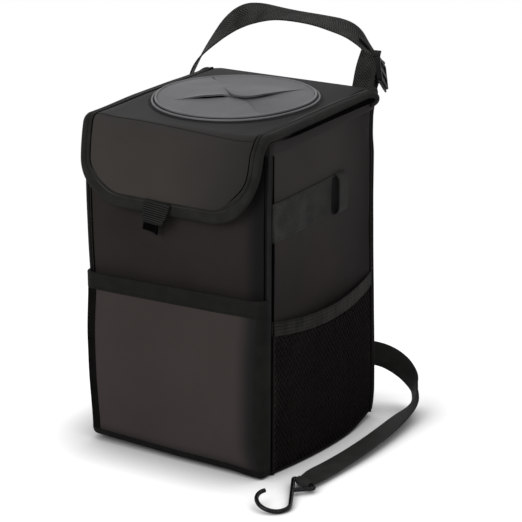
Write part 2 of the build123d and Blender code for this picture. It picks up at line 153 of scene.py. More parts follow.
def settle(points, on_lid=False):
    """The given points as the soft sewn box holds them; the lid doesn't follow the left wall's swell."""
    moved = np.array(points, float)
    x, y, z = moved[..., 0].copy(), moved[..., 1].copy(), moved[..., 2].copy()
    if not on_lid:
        swell = smooth(z, 60, 232) - 0.85 * smooth(z, 245, 290)
        moved[..., 0] -= left_swell * smooth(-x, 60, half_width) * swell
    sink = left_sink * (1 - 0.35 * smooth(y, -80, -20))
    moved[..., 2] -= sink * smooth(-x, 72, half_width + 2) * smooth(z, 150, 285)
    draw = back_draw * smooth(z, 0, 240)
    if not on_lid:
        draw -= back_spread * (1 - smooth(z, 0, 240))
        pinch = back_pinch * smooth(z, 246, 268) * (1 - smooth(z, 280, 296))
        moved[..., 0] -= pinch * smooth(x, 80, half_width) * smooth(y, 74, half_depth)
    moved[..., 0] -= draw * smooth(x, 72, half_width) * smooth(y, -half_depth, half_depth)
    middle = (1 - smooth(np.abs(x), 62, 90)) * smooth(z, 250, 290)
    moved[..., 2] -= middle * (0.3 * smooth(y, 0, 80) + 2.4 * smooth(-y, 0, 80))
    back_foot = smooth(x, 70, half_width) * smooth(y, 25, half_depth) * (1 - smooth(z, 0, 30))
    moved[..., 2] += foot_lift * back_foot
    moved[..., 1] -= 0.45 * foot_lift * back_foot
    front_foot = 0.7 * (1 - smooth(x, 55, 86)) + 0.5 * smooth(-x, -20, half_width)
    moved[..., 2] += front_foot_lift * front_foot * smooth(-y, 60, half_depth) * (1 - smooth(z, 0, 60))
    return moved


# Mesh makers
off_axis = (0.31, 0.52, 0.79)


def make_piece(name, body, points, faces, material, lay=None, sharp=50):
    """A mesh object from millimetre points that rides on a body."""
    mesh = bpy.data.meshes.new(name)
    mesh.from_pydata((np.asarray(points, float).reshape(-1, 3) * MM).tolist(), [], faces)
    if lay is not None:
        layer = mesh.uv_layers.new(name="lay")
        layer.data.foreach_set("uv", np.asarray(lay, np.float32).ravel())
    work = bmesh.new()
    work.from_mesh(mesh)
    bmesh.ops.recalc_face_normals(work, faces=work.faces)
    work.to_mesh(mesh)
    work.free()
    mesh.shade_smooth()
    mesh.set_sharp_from_angle(angle=math.radians(sharp))
    mesh.materials.append(material)
    piece = bpy.data.objects.new(name, mesh)
    bpy.context.scene.collection.objects.link(piece)
    if body:
        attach(piece, body)
    return piece


def loft(rings, closed=False, flat_ends=True):
    """Faces of a skin through equal closed rings, and where each face corner lies on the cloth."""
    rings = np.asarray(rings, float)
    count, around = rings.shape[:2]
    steps = np.linalg.norm(np.roll(rings, -1, 0) - rings, axis=2).mean(1)
    along = np.concatenate([[0], np.cumsum(steps)])
    middle = rings[count // 2]
    sides = np.linalg.norm(np.roll(middle, -1, 0) - middle, axis=1)
    girth = np.concatenate([[0], np.cumsum(sides)])
    faces = []
    lay = []
    for i in range(count if closed else count - 1):
        k = (i + 1) % count
        for j in range(around):
            m = (j + 1) % around
            faces.append((i * around + j, k * around + j, k * around + m, i * around + m))
            near, far = along[i], along[i + 1]
            lay += [(near, girth[j]), (far, girth[j]), (far, girth[j + 1]), (near, girth[j + 1])]
    if closed:
        return faces, lay
    for base in (0, (count - 1) * around):
        if flat_ends:
            for j in range(around // 2 - 1):
                quad = (base + j, base + j + 1, base + around - 2 - j, base + around - 1 - j)
                faces.append(quad)
                lay += [(0, 0)] * 4
        else:
            faces.append(tuple(range(base, base + around)))
            lay += [(0, 0)] * around
    return faces, lay


def skin(name, body, rings, material, closed=False, flat_ends=True, sharp=50):
    """A piece lofted through rings of points."""
    faces, lay = loft(rings, closed, flat_ends)
    return make_piece(name, body, rings, faces, material, lay, sharp)


def slab(name, body, outer, inner, material, slot):
    """A closed sheet between two equal grids of points."""
    return skin(name, body, np.concatenate([outer, inner[:, ::-1]], axis=1), material)


def tube_rings(path, radius, sides):
    """Round rings along a path."""
    tangents = headings(path)
    turn = np.linspace(0, FULL_TURN, sides, endpoint=False)[:, None]
    side = np.cross(tangents[0], off_axis)
    rings = []
    for point, tangent in zip(path, tangents):
        side = unit(side - tangent * side.dot(tangent))
        rings.append(point + radius * (np.cos(turn) * side + np.sin(turn) * np.cross(tangent, side)))
    return np.array(rings)


def tube(name, body, path, radius, sides, material, girth=1.0):
    """A round cord along a path, its girth scaled by one share or by a share at each point."""
    rings = tube_rings(path, radius, sides)
    centres = rings.mean(1, keepdims=True)
    rings = centres + (rings - centres) * np.reshape(girth, (-1, 1, 1))
    return skin(name, body, rings, material, flat_ends=False)


def stitches(name, body, places, along, up, length=2.3, girth=0.42):
    """A row of short sewing stitches at the given places, as one piece."""
    corners = ((0, 2, 4), (2, 1, 4), (1, 3, 4), (3, 0, 4), (2, 0, 5), (1, 2, 5), (3, 1, 5), (0, 3, 5))
    runs = unit(along)
    rises = unit(up - runs * np.sum(up * runs, axis=1, keepdims=True))
    points = []
    faces = []
    for place, run, rise in zip(places, runs, rises):
        start = len(points)
        for step, width in ((run, length / 2), (np.cross(run, rise), girth), (rise, girth)):
            points += [place + step * width, place - step * width]
        faces += [tuple(start + i for i in corner) for corner in corners]
    return make_piece(name, body, points, faces, thread, sharp=180)


def spaced(path, step):
    """Points at even steps along a line, with the directions there."""
    runs = run_lengths(path)
    at = np.arange(step / 2, runs[-1], step)
    places, ahead, behind = [
        np.stack([np.interp(at + shift, runs, axis) for axis in path.T], axis=1) for shift in (0, 0.5, -0.5)]
    return places, ahead - behind


# Materials
def linear(colour):
    """A colour from its 0 to 255 display values, or a grey from one of them."""
    shares = np.broadcast_to(np.array(colour) / 255, 3)
    return (*[s / 12.92 if s <= 0.04045 else ((s + 0.055) / 1.055) ** 2.4 for s in shares], 1.0)


def add_node(tree, kind, sockets, **settings):
    """A shader node with its sockets set to numbers or linked to other nodes."""
    made = tree.nodes.new(kind)
    for key, value in settings.items():
        setattr(made, key, value)
    for key, value in sockets.items():
        if isinstance(value, bpy.types.NodeSocket):
            tree.links.new(value, made.inputs[key])
        else:
            made.inputs[key].default_value = value
    return made


def calc(tree, operation, first, second=0.0):
    return add_node(tree, "ShaderNodeMath", {0: first, 1: second}, operation=operation).outputs[0]


def blotches(tree, place, scale, detail=2.0):
    sockets = {"Vector": place, "Scale": scale, "Detail": detail}
    return add_node(tree, "ShaderNodeTexNoise", sockets).outputs["Fac"]


def mixed(tree, share, first, second):
    """A colour that goes from the first to the second as the share goes from 0 to 1."""
    sockets = {"Factor": share, "A": first, "B": second}
    return add_node(tree, "ShaderNodeMix", sockets, data_type="RGBA").outputs["Result"]


def ranged(tree, value, low, high, to_low=0.0, to_high=1.0, kind="LINEAR"):
    """A value's place between two limits, as a share or as a place in another range."""
    sockets = {"Value": value, "From Min": low, "From Max": high, "To Min": to_low, "To Max": to_high}
    return add_node(tree, "ShaderNodeMapRange", sockets, interpolation_type=kind).outputs["Result"]


def two_tone(tree, share, low, high, first, second):
    """A colour that goes from the first to the second as the share goes from low to high."""
    return mixed(tree, ranged(tree, share, low, high), linear(first), linear(second))


def new_material(name, **sockets):
    """A material's node tree, with the shader's sockets set to the given numbers."""
    material = bpy.data.materials.new(name)
    material.use_nodes = True
    for key, value in sockets.items():
        material.node_tree.nodes["Principled BSDF"].inputs[key.replace("_", " ")].default_value = value
    return material, material.node_tree


def dressed(material, colour, height, bump, wear, roughness):
    """The material with its colour, its bump and its worn roughness linked."""
    tree = material.node_tree
    bumps = add_node(tree, "ShaderNodeBump", {"Height": height, "Distance": bump, "Strength": 1.0})
    rough = ranged(tree, wear, 0.0, 1.0, *roughness)
    shader = tree.nodes["Principled BSDF"]
    for socket, key in ((colour, "Base Color"), (bumps.outputs["Normal"], "Normal"), (rough, "Roughness")):
        tree.links.new(socket, shader.inputs[key])
    return material


def object_place(tree):
    return add_node(tree, "ShaderNodeTexCoord", {}).outputs["Object"]


def cloth_lay(tree):
    """Where a point lies on its cloth, in millimetres: along it, across it."""
    uv = add_node(tree, "ShaderNodeUVMap", {}, uv_map="lay").outputs["UV"]
    split = add_node(tree, "ShaderNodeSeparateXYZ", {0: uv})
    return split.outputs["X"], split.outputs["Y"]


def wave(tree, value, pitch):
    """A sine of a length in millimetres with the given pitch."""
    return calc(tree, "SINE", calc(tree, "MULTIPLY", value, FULL_TURN / pitch))


def cloth(name, dark, light, cloud=16.0, painted_edge_shade=None, turned=None):
    """Coated plain-weave cloth with a broad drift of tone.

    As painted shade, its colour can sink to a dark tone towards its right edge and along its foot.
    It can also go over to two other tones beyond a point along it: the flap's own cloth beyond the lid's
    fold, and painted light higher up a side wall.
    """
    material, tree = new_material(name, Sheen_Weight=0.008, Sheen_Roughness=0.45, Specular_IOR_Level=0.034)
    place = object_place(tree)
    along, across = cloth_lay(tree)
    broad = blotches(tree, place, cloud, 3.0)
    colour = two_tone(tree, broad, 0.33, 0.68, dark, light)
    # Two other tones beyond a point along the cloth: the flap's cloth beyond the lid's fold, and painted
    # light higher up the side walls
    if turned:
        start, end, *tones = turned
        beyond = two_tone(tree, broad, 0.33, 0.68, *tones)
        colour = mixed(tree, ranged(tree, along, start, end, kind="SMOOTHSTEP"), colour, beyond)
    # Painted shade: the colour sinks to the dark tone towards the right edge and along the foot
    if painted_edge_shade:
        right_start, right_end, foot_start, foot_end, edge = painted_edge_shade
        right = ranged(tree, across, right_start, right_end, 1.0, 0.0, "SMOOTHSTEP")
        foot = ranged(tree, along, foot_start, foot_end, kind="SMOOTHSTEP")
        colour = mixed(tree, calc(tree, "MULTIPLY", right, foot), linear(edge), colour)
    pitch = 1.1
    weave = calc(tree, "MULTIPLY", wave(tree, along, pitch), wave(tree, across, pitch))
    height = calc(tree, "ADD", weave, calc(tree, "MULTIPLY", blotches(tree, place, 900.0), 1.2))
    return dressed(material, colour, height, 0.0001, broad, (0.55, 0.71))


def tape(name, dark, light, pitch=1.2, slant=0.9, bump=0.00006, contrast=0.12, mirrored_at=None,
         lengthwise=False, gleam=1.0):
    """Woven tape whose ribs run at a slant, in chevrons about a middle line, or lengthwise."""
    material, tree = new_material(name, Sheen_Weight=0.006 * gleam, Sheen_Roughness=0.4,
                                  Specular_IOR_Level=0.042 * gleam)
    along, across = cloth_lay(tree)
    if mirrored_at is not None:
        across = calc(tree, "PINGPONG", across, mirrored_at)
    if lengthwise:
        ribs = wave(tree, across, pitch)
    else:
        ribs = wave(tree, calc(tree, "ADD", along, calc(tree, "MULTIPLY", across, slant)), pitch)
    threads = wave(tree, across, pitch * 0.7)
    height = calc(tree, "ADD", ribs, calc(tree, "MULTIPLY", threads, 0.35))
    worn = blotches(tree, object_place(tree), 70.0, 4.0)
    tone = calc(tree, "ADD", calc(tree, "MULTIPLY", ribs, contrast), worn)
    colour = two_tone(tree, tone, 0.3, 0.72, dark, light)
    return dressed(material, colour, height, bump, worn, (0.52, 0.7))


def leather(name, dark, light, roughness, grain=650.0, bump=0.00012):
    """Soft grained leather cloth."""
    material, tree = new_material(name, Sheen_Weight=0.08, Specular_IOR_Level=0.1)
    place = object_place(tree)
    cells = add_node(tree, "ShaderNodeTexVoronoi", {"Vector": place, "Scale": grain})
    soft = blotches(tree, place, 28.0, 4.0)
    colour = two_tone(tree, soft, 0.3, 0.7, dark, light)
    height = calc(tree, "ADD", cells.outputs["Distance"], blotches(tree, place, 2200.0))
    return dressed(material, colour, height, bump, soft, (roughness - 0.06, roughness + 0.08))


def moulded(name, dark, light, roughness, specular, metallic=0.0):
    """Moulded plastic or coated wire with a fine grain and slightly worn tone."""
    material, tree = new_material(name, Metallic=metallic, Specular_IOR_Level=specular)
    place = object_place(tree)
    worn = blotches(tree, place, 120.0, 5.0)
    colour = two_tone(tree, worn, 0.35, 0.7, dark, light)
    grain = blotches(tree, place, 1500.0)
    return dressed(material, colour, grain, 0.00004, worn, (roughness - 0.06, roughness + 0.1))


shell_cloth = cloth("shell_cloth", (38, 35, 33), (43, 40, 38))
# Painted shade: the front wall's cloth is a little darker than the shell's, for the shade under the flap, and
# darker still towards its right edge and along its foot
front_cloth = cloth("front_cloth", (36, 33, 31), (41, 38, 36), painted_edge_shade=(158, 176, 0, 10, 20))
# Painted light and shade: the side walls' cloth is lighter higher up, where more light falls, and sinks
# darker towards the back and along the foot
side_cloth = cloth("side_cloth", (33, 30, 29), (41, 37, 35), painted_edge_shade=(95, 190, 0, 10, (20, 19, 18)),
                   turned=(150, 265, (48, 45, 44), (56, 53, 51)))
# Painted shade: the pocket's cloth sinks darker towards its right edge, where it rounds away from the light,
# and along its foot
pocket_cloth = cloth("pocket_cloth", (55, 49, 48), (60, 54, 53), 9.0, painted_edge_shade=(163, 183, 8, 22, 27))
# Painted shade: the lid's cloth sinks darker across its right-hand part; beyond the fold the flap has its own
# browner cloth
lid_cloth = cloth("lid_cloth", 50, 58, 9.0, painted_edge_shade=(94, 200, -20, -10, (37, 37, 36)),
                  turned=(top_run - 6, top_run + 12, (52, 49, 47), (60, 56, 54)))
ring_cloth = cloth("ring_cloth", 32, 40)
net_thread = tape("net_thread", (15, 13, 12), (24, 22, 21), 0.9, 0.6)
binding = tape("binding", (18, 18, 17), (27, 27, 25))
lid_edging = tape("lid_edging", (26, 26, 25), (38, 38, 36))
# Painted highlight: pale tape for the lit lip along the inner border of the lid's tape
painted_highlight_lip = tape("painted_highlight_lip", (66, 66, 65), (84, 84, 82), bump=0.00004)
rim_edging = tape("rim_edging", (32, 30, 29), (41, 39, 38))
# Very dark tape: the pocket's foot tape, darkened as painted shade, and painted shade in the keeper's slot
# and on the carry strap's second layer
dark_tape_painted_shade = tape("dark_tape_painted_shade", 12, (19, 19, 18))
# Painted highlight: the front corner cords take this lighter copy of the piping tape, for the highlight along
# them
pipe_painted_highlight = tape("pipe_painted_highlight", (26, 26, 25), (35, 35, 34))
# Painted shade: matt black for the dark tubes and leaf that stand for shade, beside the front cords, along
# the lid tape's inner border, under the lid's long edges and inside the pull loop
matt_painted_shade = tape("matt_painted_shade", 5, 9, gleam=0.0)
# Painted shade: matt, near-black tape on the pocket's left edge, for the shade where it rounds away
pocket_edge_painted_shade = tape("pocket_edge_painted_shade", (14, 14, 13), (19, 19, 18), gleam=0.0)
elastic = tape("elastic", (18, 18, 17), (42, 41, 39), 3.1, bump=0.0001, lengthwise=True)
webbing = tape("webbing", (22, 22, 21), (60, 60, 58), 2.8, 1.0, 0.00022, 0.26, mirrored_at=6.4)
twill = tape("twill", (35, 35, 34), (48, 48, 46), 1.6, 0.8, 0.0001)
grosgrain = tape("grosgrain", 2, (40, 40, 38), 2.1, 0.0, 0.00022, 0.66)
# Painted shade: the two right petals take the darker copy of the petal leather
petal_skin = leather("petal_skin", (78, 78, 81), (92, 92, 95), 0.46)
petal_painted_shade = leather("petal_painted_shade", (70, 70, 73), (83, 83, 86), 0.46)
ring_skin = leather("ring_skin", (95, 95, 97), (110, 110, 112), 0.42)
thread = tape("thread", 20, 30, 0.8, 0.5, 0.00005)
film = leather("film", (40, 40, 42), (50, 50, 52), 0.4, 300.0, 0.00006)
fuzz = leather("fuzz", 20, 30, 0.85, 1300.0, 0.0005)
slider_plastic = moulded("slider_plastic", (16, 16, 17), (25, 25, 26), 0.5, 0.045)
hook_gloss = moulded("hook_gloss", (20, 20, 22), (34, 34, 36), 0.22, 0.15, metallic=0.6)
stitch_step = 3.4


# Walls
edge_round = 3.0
wall_crown = 0.7
side_reach = half_depth - wall
walls = {
    "front": ((1, 0, 0), (0, -1, 0), half_width, half_depth, 0.35, front_cloth),
    "back": ((1, 0, 0), (0, 1, 0), half_width, half_depth, 0.35, shell_cloth),
    "right": ((0, 1, 0), (1, 0, 0), side_reach, half_width, 0.9, side_cloth),
    "left": ((0, 1, 0), (-1, 0, 0), side_reach, half_width, 0.9, side_cloth),
}


def wall_swell(side, across, z):
    """How far a wall's cloth stands out from the flat panel there."""
    _, _, reach, _, ripple, _ = walls[side]
    edge = np.clip((np.abs(across) - reach + edge_round) / edge_round, 0, 1)
    foot = np.clip((edge_round - z) / edge_round, 0, 1)
    roll = 2 - np.sqrt(1 - edge**2) - np.sqrt(1 - foot**2)
    under_tape = 1 - smooth(z, rim_front - 40, rim_front - 12)
    crown = wall_crown * (1 - (across / reach) ** 2) * smooth(z, 0, 60)
    place = stacked(across, z, reach)
    ripples = ripple * drift(place, 46, len(side)) + 0.25 * ripple * drift(place, 17, 3)
    return (crown + ripples * (1 - edge)) * under_tape - edge_round * roll


def on_wall(side, across, z, out):
    """A point on a wall, the given distance out from its cloth."""
    run, normal, _, distance, _, _ = walls[side]
    across, z, out = np.broadcast_arrays(across, z, out)
    away = distance + wall_swell(side, across, z) + out
    return stacked(across, away, z) @ np.array((run, normal, (0, 0, 1)), float)


def rim_height(y):
    return rim_front + (y + half_depth) * rim_slope


def build_walls():
    shares = np.concatenate([np.linspace(0, 0.016, 6), np.linspace(0.03, 1, 80)])
    for side, (run, normal, reach, distance, _, material) in walls.items():
        columns = np.linspace(-1, 1, 57) * reach
        along_depth = columns if run[1] else np.full_like(columns, normal[1] * half_depth)
        z = shares[:, None] * rim_height(along_depth)
        across = np.broadcast_to(columns, z.shape)
        inner = across[..., None] * np.array(run, float) + (distance - wall) * np.array(normal, float)
        inner[..., 2] = z
        outer = settle(on_wall(side, across, z, 0.0))
        piece = slab(side + "_wall", "bin", outer, settle(inner), material, "shell_fabric")
        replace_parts(piece, side + "_panel")


def build_base():
    low, high = box_mm("base_panel")
    x, y = np.meshgrid(np.linspace(low[0], high[0], 40), np.linspace(low[1], high[1], 40))
    under = stacked(x, y, low[2])
    top = stacked(x, y, high[2])
    under[..., 2] += 0.4 + 0.4 * drift(under, 40, 5)
    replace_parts(slab("base_board", "bin", under, top, shell_cloth, "shell_fabric"), "base_panel")


pipe_share = 0.74
side_seam_inset = 5.9
side_seam_radius = 1.2
front_seam_inset = 4.2
front_seam_radius = 0.7


def build_piping():
    """Piped corner seams; the front cords take a lighter tape as a painted highlight, and matt black tubes
    paint the shade of a sunk seam on both sides of the two in front.
    """
    for corner in ("front_left", "front_right", "back_left", "back_right"):
        low, high = box_mm(corner + "_piping")
        middle = (low + high) / 2
        heights = np.linspace(0.8, rim_height(middle[1]) - 3, 70)
        path = np.column_stack([np.tile(middle[:2], (70, 1)), heights])
        path[:, 0] += 0.18 * drift(path, 30, 1)
        path[:, 1] += 0.18 * drift(path, 30, 2)
        path[:, :2] -= 0.5 * np.sign(middle[:2])
        front = corner.startswith("front")
        piece = tube(corner + "_cord", "bin", settle(path), pipe_radius * pipe_share, 12,
                     pipe_painted_highlight if front else binding, 0.6 + 0.4 * smooth(heights, 0, 10))
        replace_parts(piece, corner + "_piping")
        if front:
            seam = heights[1:-2]
            girth = 1 - 0.6 * smooth(seam, 215, 262)
            lines = ((corner.split("_")[1], middle[1] + side_seam_inset, side_seam_radius),
                     ("front", middle[0] - front_seam_inset * np.sign(middle[0]), front_seam_radius))
            for side, across, radius in lines:
                line = settle(on_wall(side, across, seam, 0.1))
                tube(corner + "_seam_" + side, "bin", line, radius, 8, matt_painted_shade, girth)


def rounded_loop(reach_x, reach_y, radius, step=4.0):
    """Plan points and outward directions round a rounded rectangle."""
    points = []
    outward = []
    for sign_x, sign_y, first in ((1, 1, 0), (-1, 1, 90), (-1, -1, 180), (1, -1, 270)):
        turn = np.radians(np.linspace(first, first + 90, 7))
        directions = np.column_stack([np.cos(turn), np.sin(turn)])
        points += [*(radius * directions + (sign_x * (reach_x - radius), sign_y * (reach_y - radius)))]
        outward += [*directions]
    dense = []
    for point, after, out, next_out in zip(points, np.roll(points, -1, 0), outward, np.roll(outward, -1, 0)):
        cuts = max(1, int(np.linalg.norm(after - point) / step))
        for share in np.arange(cuts) / cuts:
            dense.append((point + (after - point) * share, unit(out * (1 - share) + next_out * share)))
    return np.array(dense).transpose(1, 0, 2)


def build_rim_tape():
    """Folded tape over the rim: a soft U section carried round the mouth."""
    drop = 10.0
    section = [(1.0, -drop), (1.25, -drop + 1), (1.1, -4), (1.2, 0), (0.4, 1.0), (-1.0, 1.25), (-3.2, 1.25),
               (-4.5, 1.0), (-5.2, 0), (-5.1, -4), (-5.2, -drop + 1), (-5.0, -drop),
               (-4.1, -drop), (-4.0, -1.2), (-0.2, -1.2), (-0.1, -drop)]
    rings = [[(*(point + direction * out), rim_height(point[1]) + up) for out, up in section]
             for point, direction in zip(*rounded_loop(half_width, half_depth, 4.0))]
    piece = skin("rim_tape", "bin", settle(rings), rim_edging, closed=True)
    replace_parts(piece, "rim_binding")


def build_liner():
    """Film tub inside the walls, with soft creases: up its outside and down its inside."""
    low, high = box_mm("liner")
    plan, outward = rounded_loop(high[0], high[1], 3.0, 6.0)
    outward = np.column_stack([outward, np.zeros(len(plan))])
    thickness = 0.8
    heights = np.concatenate([np.linspace(high[2] - 6, low[2] + 6, 46), [low[2] + 2.5, low[2] + 0.8]])
    outer = []
    inner = []
    for z in heights:
        ring = np.column_stack([plan, np.minimum(z, rim_height(plan[:, 1]) - 12.5)])
        crease = 0.9 * (0.6 + drift(ring * (1, 1, 0.4), 26, 9))
        shrink = 1.5 if z == heights[-1] else 0.0
        push = thickness + np.clip(crease, 0.0, 2.0) + shrink
        outer.append(ring - outward * shrink)
        inner.append(ring - outward * push[:, None])
    outer[-1][:, 2] = low[2] + 0.1
    for share in (0.7, 0.4, 0.12):
        flat = np.column_stack([plan * share, np.full(len(plan), low[2])])
        outer.append(flat)
        inner.append(flat + (0, 0, thickness + 0.3))
    piece = skin("liner_tub", "bin", [*outer[::-1], *inner], film, flat_ends=False)
    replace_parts(piece, "liner")


# Front pocket
pocket_round = 9.5
pocket_right_round = 10.8
pocket_wall = 1.6
pocket_lean = 2.5
pocket_puff = 2.0
pocket_top_sink = 3.5
pocket_foot_lift = 2.0
left_arc_points = 12
right_arc_points = 14


def pocket_plan(z, grow, count=64):
    """The pocket's outline at one height, from the wall at its left end round to the right end."""
    share = np.clip(z / pocket_tape_high[2], 0, 1)
    left_puff = 3.2 + 3.7 * smooth(z, 0, 75) - 2.6 * smooth(z, 95, 159)
    foot = 2.5 * (1 - math.sqrt(max(0.0, 1 - max(0.0, (6 - z) / 6) ** 2)))
    left = pocket_low[0] - left_puff - grow + foot
    right = half_width - 0.3 + grow - 0.3 * foot
    front = pocket_low[1] - grow + foot + pocket_lean * smooth(z, 90, pocket_tape_high[2])
    back = -half_depth + 0.2
    radius = pocket_round + grow
    arc = np.radians(np.linspace(180, 270, left_arc_points))
    left_arc = stacked(left + radius + radius * np.cos(arc), front + radius + radius * np.sin(arc))
    foot_round = pocket_right_round * (1 - 0.62 * (1 - float(smooth(z, 0, 34))))
    deep = min(foot_round + grow, back - front)
    arc = np.radians(np.linspace(270, 360, right_arc_points))
    right_arc = stacked(right - deep + deep * np.cos(arc), front + deep + deep * np.sin(arc))
    middle_x = np.linspace(left + radius, right - deep, count)[1:-1]
    middle = stacked(middle_x, front)
    reach = (middle_x - middle_x[0]) / (middle_x[-1] - middle_x[0])
    belly = pocket_puff * np.sin(math.pi * reach) ** 0.7 * math.sin(math.pi * min(1.0, 0.12 + share * 0.8))
    middle[:, 1] -= belly + 0.35 * drift(stacked(middle_x, z, 0.0), 48, 12) * np.sin(math.pi * reach)
    plan = np.concatenate([[(left, back)], left_arc, middle, right_arc, [(right, back)]])
    leftness = (right - plan[:, 0]) / (right - left)
    height = z + leftness * (pocket_foot_lift * (1 - share) - pocket_top_sink * share)
    return np.column_stack([plan, height])


def pocket_rows(top, count):
    """Heights up the pocket, close together at its foot."""
    low = pocket_low[2]
    return np.concatenate([low + np.linspace(0, 6, 7), np.linspace(low + 9, top, count)])


def pocket_sheet(rows, grow):
    return np.array([pocket_plan(z, grow) for z in rows])


def build_front_pocket():
    rows = pocket_rows(pocket_tape_high[2] - 0.8, 44)
    sheets = []
    for grow in (0.0, -pocket_wall):
        sheet = pocket_sheet(np.maximum(rows, pocket_low[2] - grow), grow)
        floor = sheet[:1].copy()
        floor[..., 1] = -half_depth + 0.2
        sheets.append(settle(np.concatenate([floor, sheet])))
    piece = slab("front_pocket_cloth", "bin", *sheets, pocket_cloth, "shell_fabric")
    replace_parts(piece, "front_pocket")


def build_pocket_border():
    """Dark tape on the pocket's two upright edges and along its foot; the left and foot tapes are near black,
    as painted shade.
    """
    thick = 0.55
    sunk = -0.3
    rows = pocket_rows(pocket_tape_low[2] + 2, 40)
    eased = 0.4 + 0.6 * smooth(np.arange(right_arc_points - 1), 0, 5)
    edges = (("left", slice(left_arc_points + 2), 1.0, pocket_edge_painted_shade),
             ("right", slice(1 - right_arc_points, None), eased[:, None], binding))
    for side, span, share, look in edges:
        inner = pocket_sheet(rows, sunk)[:, span]
        outer = inner + (pocket_sheet(rows, thick)[:, span] - inner) * share
        slab("front_pocket_" + side + "_edge", "bin", settle(outer), settle(inner), look, "binding_tape")
    rows = pocket_low[2] + np.linspace(0, 5.5, 8)
    sheets = [settle(pocket_sheet(rows, grow)) for grow in (thick + 0.1, sunk)]
    slab("front_pocket_foot_edge", "bin", *sheets, dark_tape_painted_shade, "binding_tape")


def build_pocket_tape():
    """Wide tape folded over the pocket's top edge, with its sewn line."""
    top = pocket_tape_high[2]
    bottom = pocket_tape_low[2]
    section = [(0.35, bottom), (0.75, bottom + 0.8), (0.55, bottom + 1.9), (0.85, bottom + 4),
               (0.85, top - 4), (0.9, top - 1), (0.3, top - 0.1), (-1.0, top + 0.1), (-2.2, top - 0.3),
               (-2.6, top - 1.2), (-2.5, bottom + 1), (-2.2, bottom), (-1.2, bottom), (-1.1, top - 1.6),
               (-0.5, top - 1.6), (-0.4, bottom)]
    rings = settle(np.stack([pocket_plan(z, grow) for grow, z in section], axis=1))
    piece = skin("front_pocket_tape", "bin", rings, binding)
    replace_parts(piece, "front_pocket_binding")
    places, along = spaced(settle(pocket_plan(bottom + 1.9, 0.75)), stitch_step)
    stitches("front_pocket_stitches", "bin", places, along, np.cross(along, (0, 0, 1)))


# Side pockets, bands and keepers
net_pitch_y = 4.8
net_pitch_z = 6.4
net_strand = 0.62
net_lift = 0.35
elastic_height = 12.5
elastic_ribs = 4
gather_pitch = 7.5
net_hem = 1.2
net_floor_thickness = 0.8
pocket_sag = 8.5
net_reach = net_high[1]
net_bulge = net_high[0] - half_width
net_foot = 0.1


def net_out(y):
    """How far the bowed side pocket stands out from the wall."""
    return net_bulge * (1 - (y / net_reach) ** 2)


def pocket_edge(y):
    """Height of the sagging top edge of a side pocket."""
    return elastic_top - pocket_sag * (1 - (y / half_depth) ** 2)


def side_point(sign, y, z, out):
    return stacked(sign * (half_width + out), y, z)


def net_strands(sign):
    """Crossing strands of the net: paths that pass over and under each other on the bowed sheet."""
    low = net_foot + 1.5
    reach = net_reach - 1.2
    crossings = int((elastic_top - low) / (net_pitch_z / 2)) + 2
    paths = []
    for lean in (1, -1):
        for start in range(-crossings, int(2 * reach / net_pitch_y) + crossings):
            path = []
            for cross in range(crossings):
                y = -reach + start * net_pitch_y + lean * cross * net_pitch_y / 2
                z = low + cross * net_pitch_z / 2
                over = net_lift * (1 if (cross + (lean > 0)) % 2 else -1)
                if abs(y) <= reach and z <= pocket_edge(y) - elastic_height + 1:
                    path.append((y, z, net_out(y) - 0.6 + over))
            if len(path) > 2:
                paths.append(side_point(sign, *np.transpose(path)))
    return paths


def build_net(side, sign):
    """A side pocket's net of crossing strands, with corded hems and a strip for its floor."""
    y = np.linspace(-net_reach, net_reach, 90)
    heights = np.linspace(net_foot, pocket_edge(net_reach) - elastic_height, 50)
    hems = [side_point(sign, edge * (net_reach - 1.6), heights, 0.9) for edge in (-1, 1)]
    hems.append(side_point(sign, y, net_foot + 1.2, np.maximum(net_out(y), 0.8) - 0.7))
    strips = [(tube_rings(path, net_strand, 5), False) for path in net_strands(sign)]
    strips += [(tube_rings(path, net_hem, 8), False) for path in hems]
    reaches = (0.1, np.maximum(net_out(y), 0.4) - 0.2)
    floor = np.array([side_point(sign, y, net_foot + 0.7, out) for out in reaches])
    floor_top = floor + (0, 0, net_floor_thickness)
    strips.append((np.concatenate([floor, floor_top[:, ::-1]], axis=1), True))
    points = []
    faces = []
    lay = []
    for rings, flat_ends in strips:
        strip, strip_lay = loft(rings, flat_ends=flat_ends)
        faces += [tuple(len(points) + index for index in face) for face in strip]
        points += rings.reshape(-1, 3).tolist()
        lay += strip_lay
    piece = make_piece(side + "_net", "bin", settle(points), faces, net_thread, lay)
    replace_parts(piece, side + "_mesh_pocket")


def build_elastic(side, sign):
    """Ribbed elastic along the pocket's sagging top edge, drawn into small gathers."""
    y = np.linspace(-net_reach, net_reach, 150)
    gather = 0.10 * np.sin(y * FULL_TURN / gather_pitch) * (1 - (y / net_reach) ** 4)
    steps = 4 * elastic_ribs
    ribs = [(1.0 + 0.26 * math.cos(FULL_TURN * index / 4), elastic_height * index / steps)
            for index in range(steps + 1)]
    section = [(0.2, -0.15), *ribs, (0.2, elastic_height + 0.15), (-0.9, elastic_height), (-0.9, 0.2)]
    lines = [side_point(sign, y, pocket_edge(y) - drop, np.maximum(net_out(y), 0.4) + out - 0.8 + gather)
             for out, drop in section]
    rings = settle(np.stack(lines, axis=1))
    piece = skin(side + "_elastic", "bin", rings, elastic, sharp=80, flat_ends=False)
    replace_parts(piece, side + "_pocket_elastic")


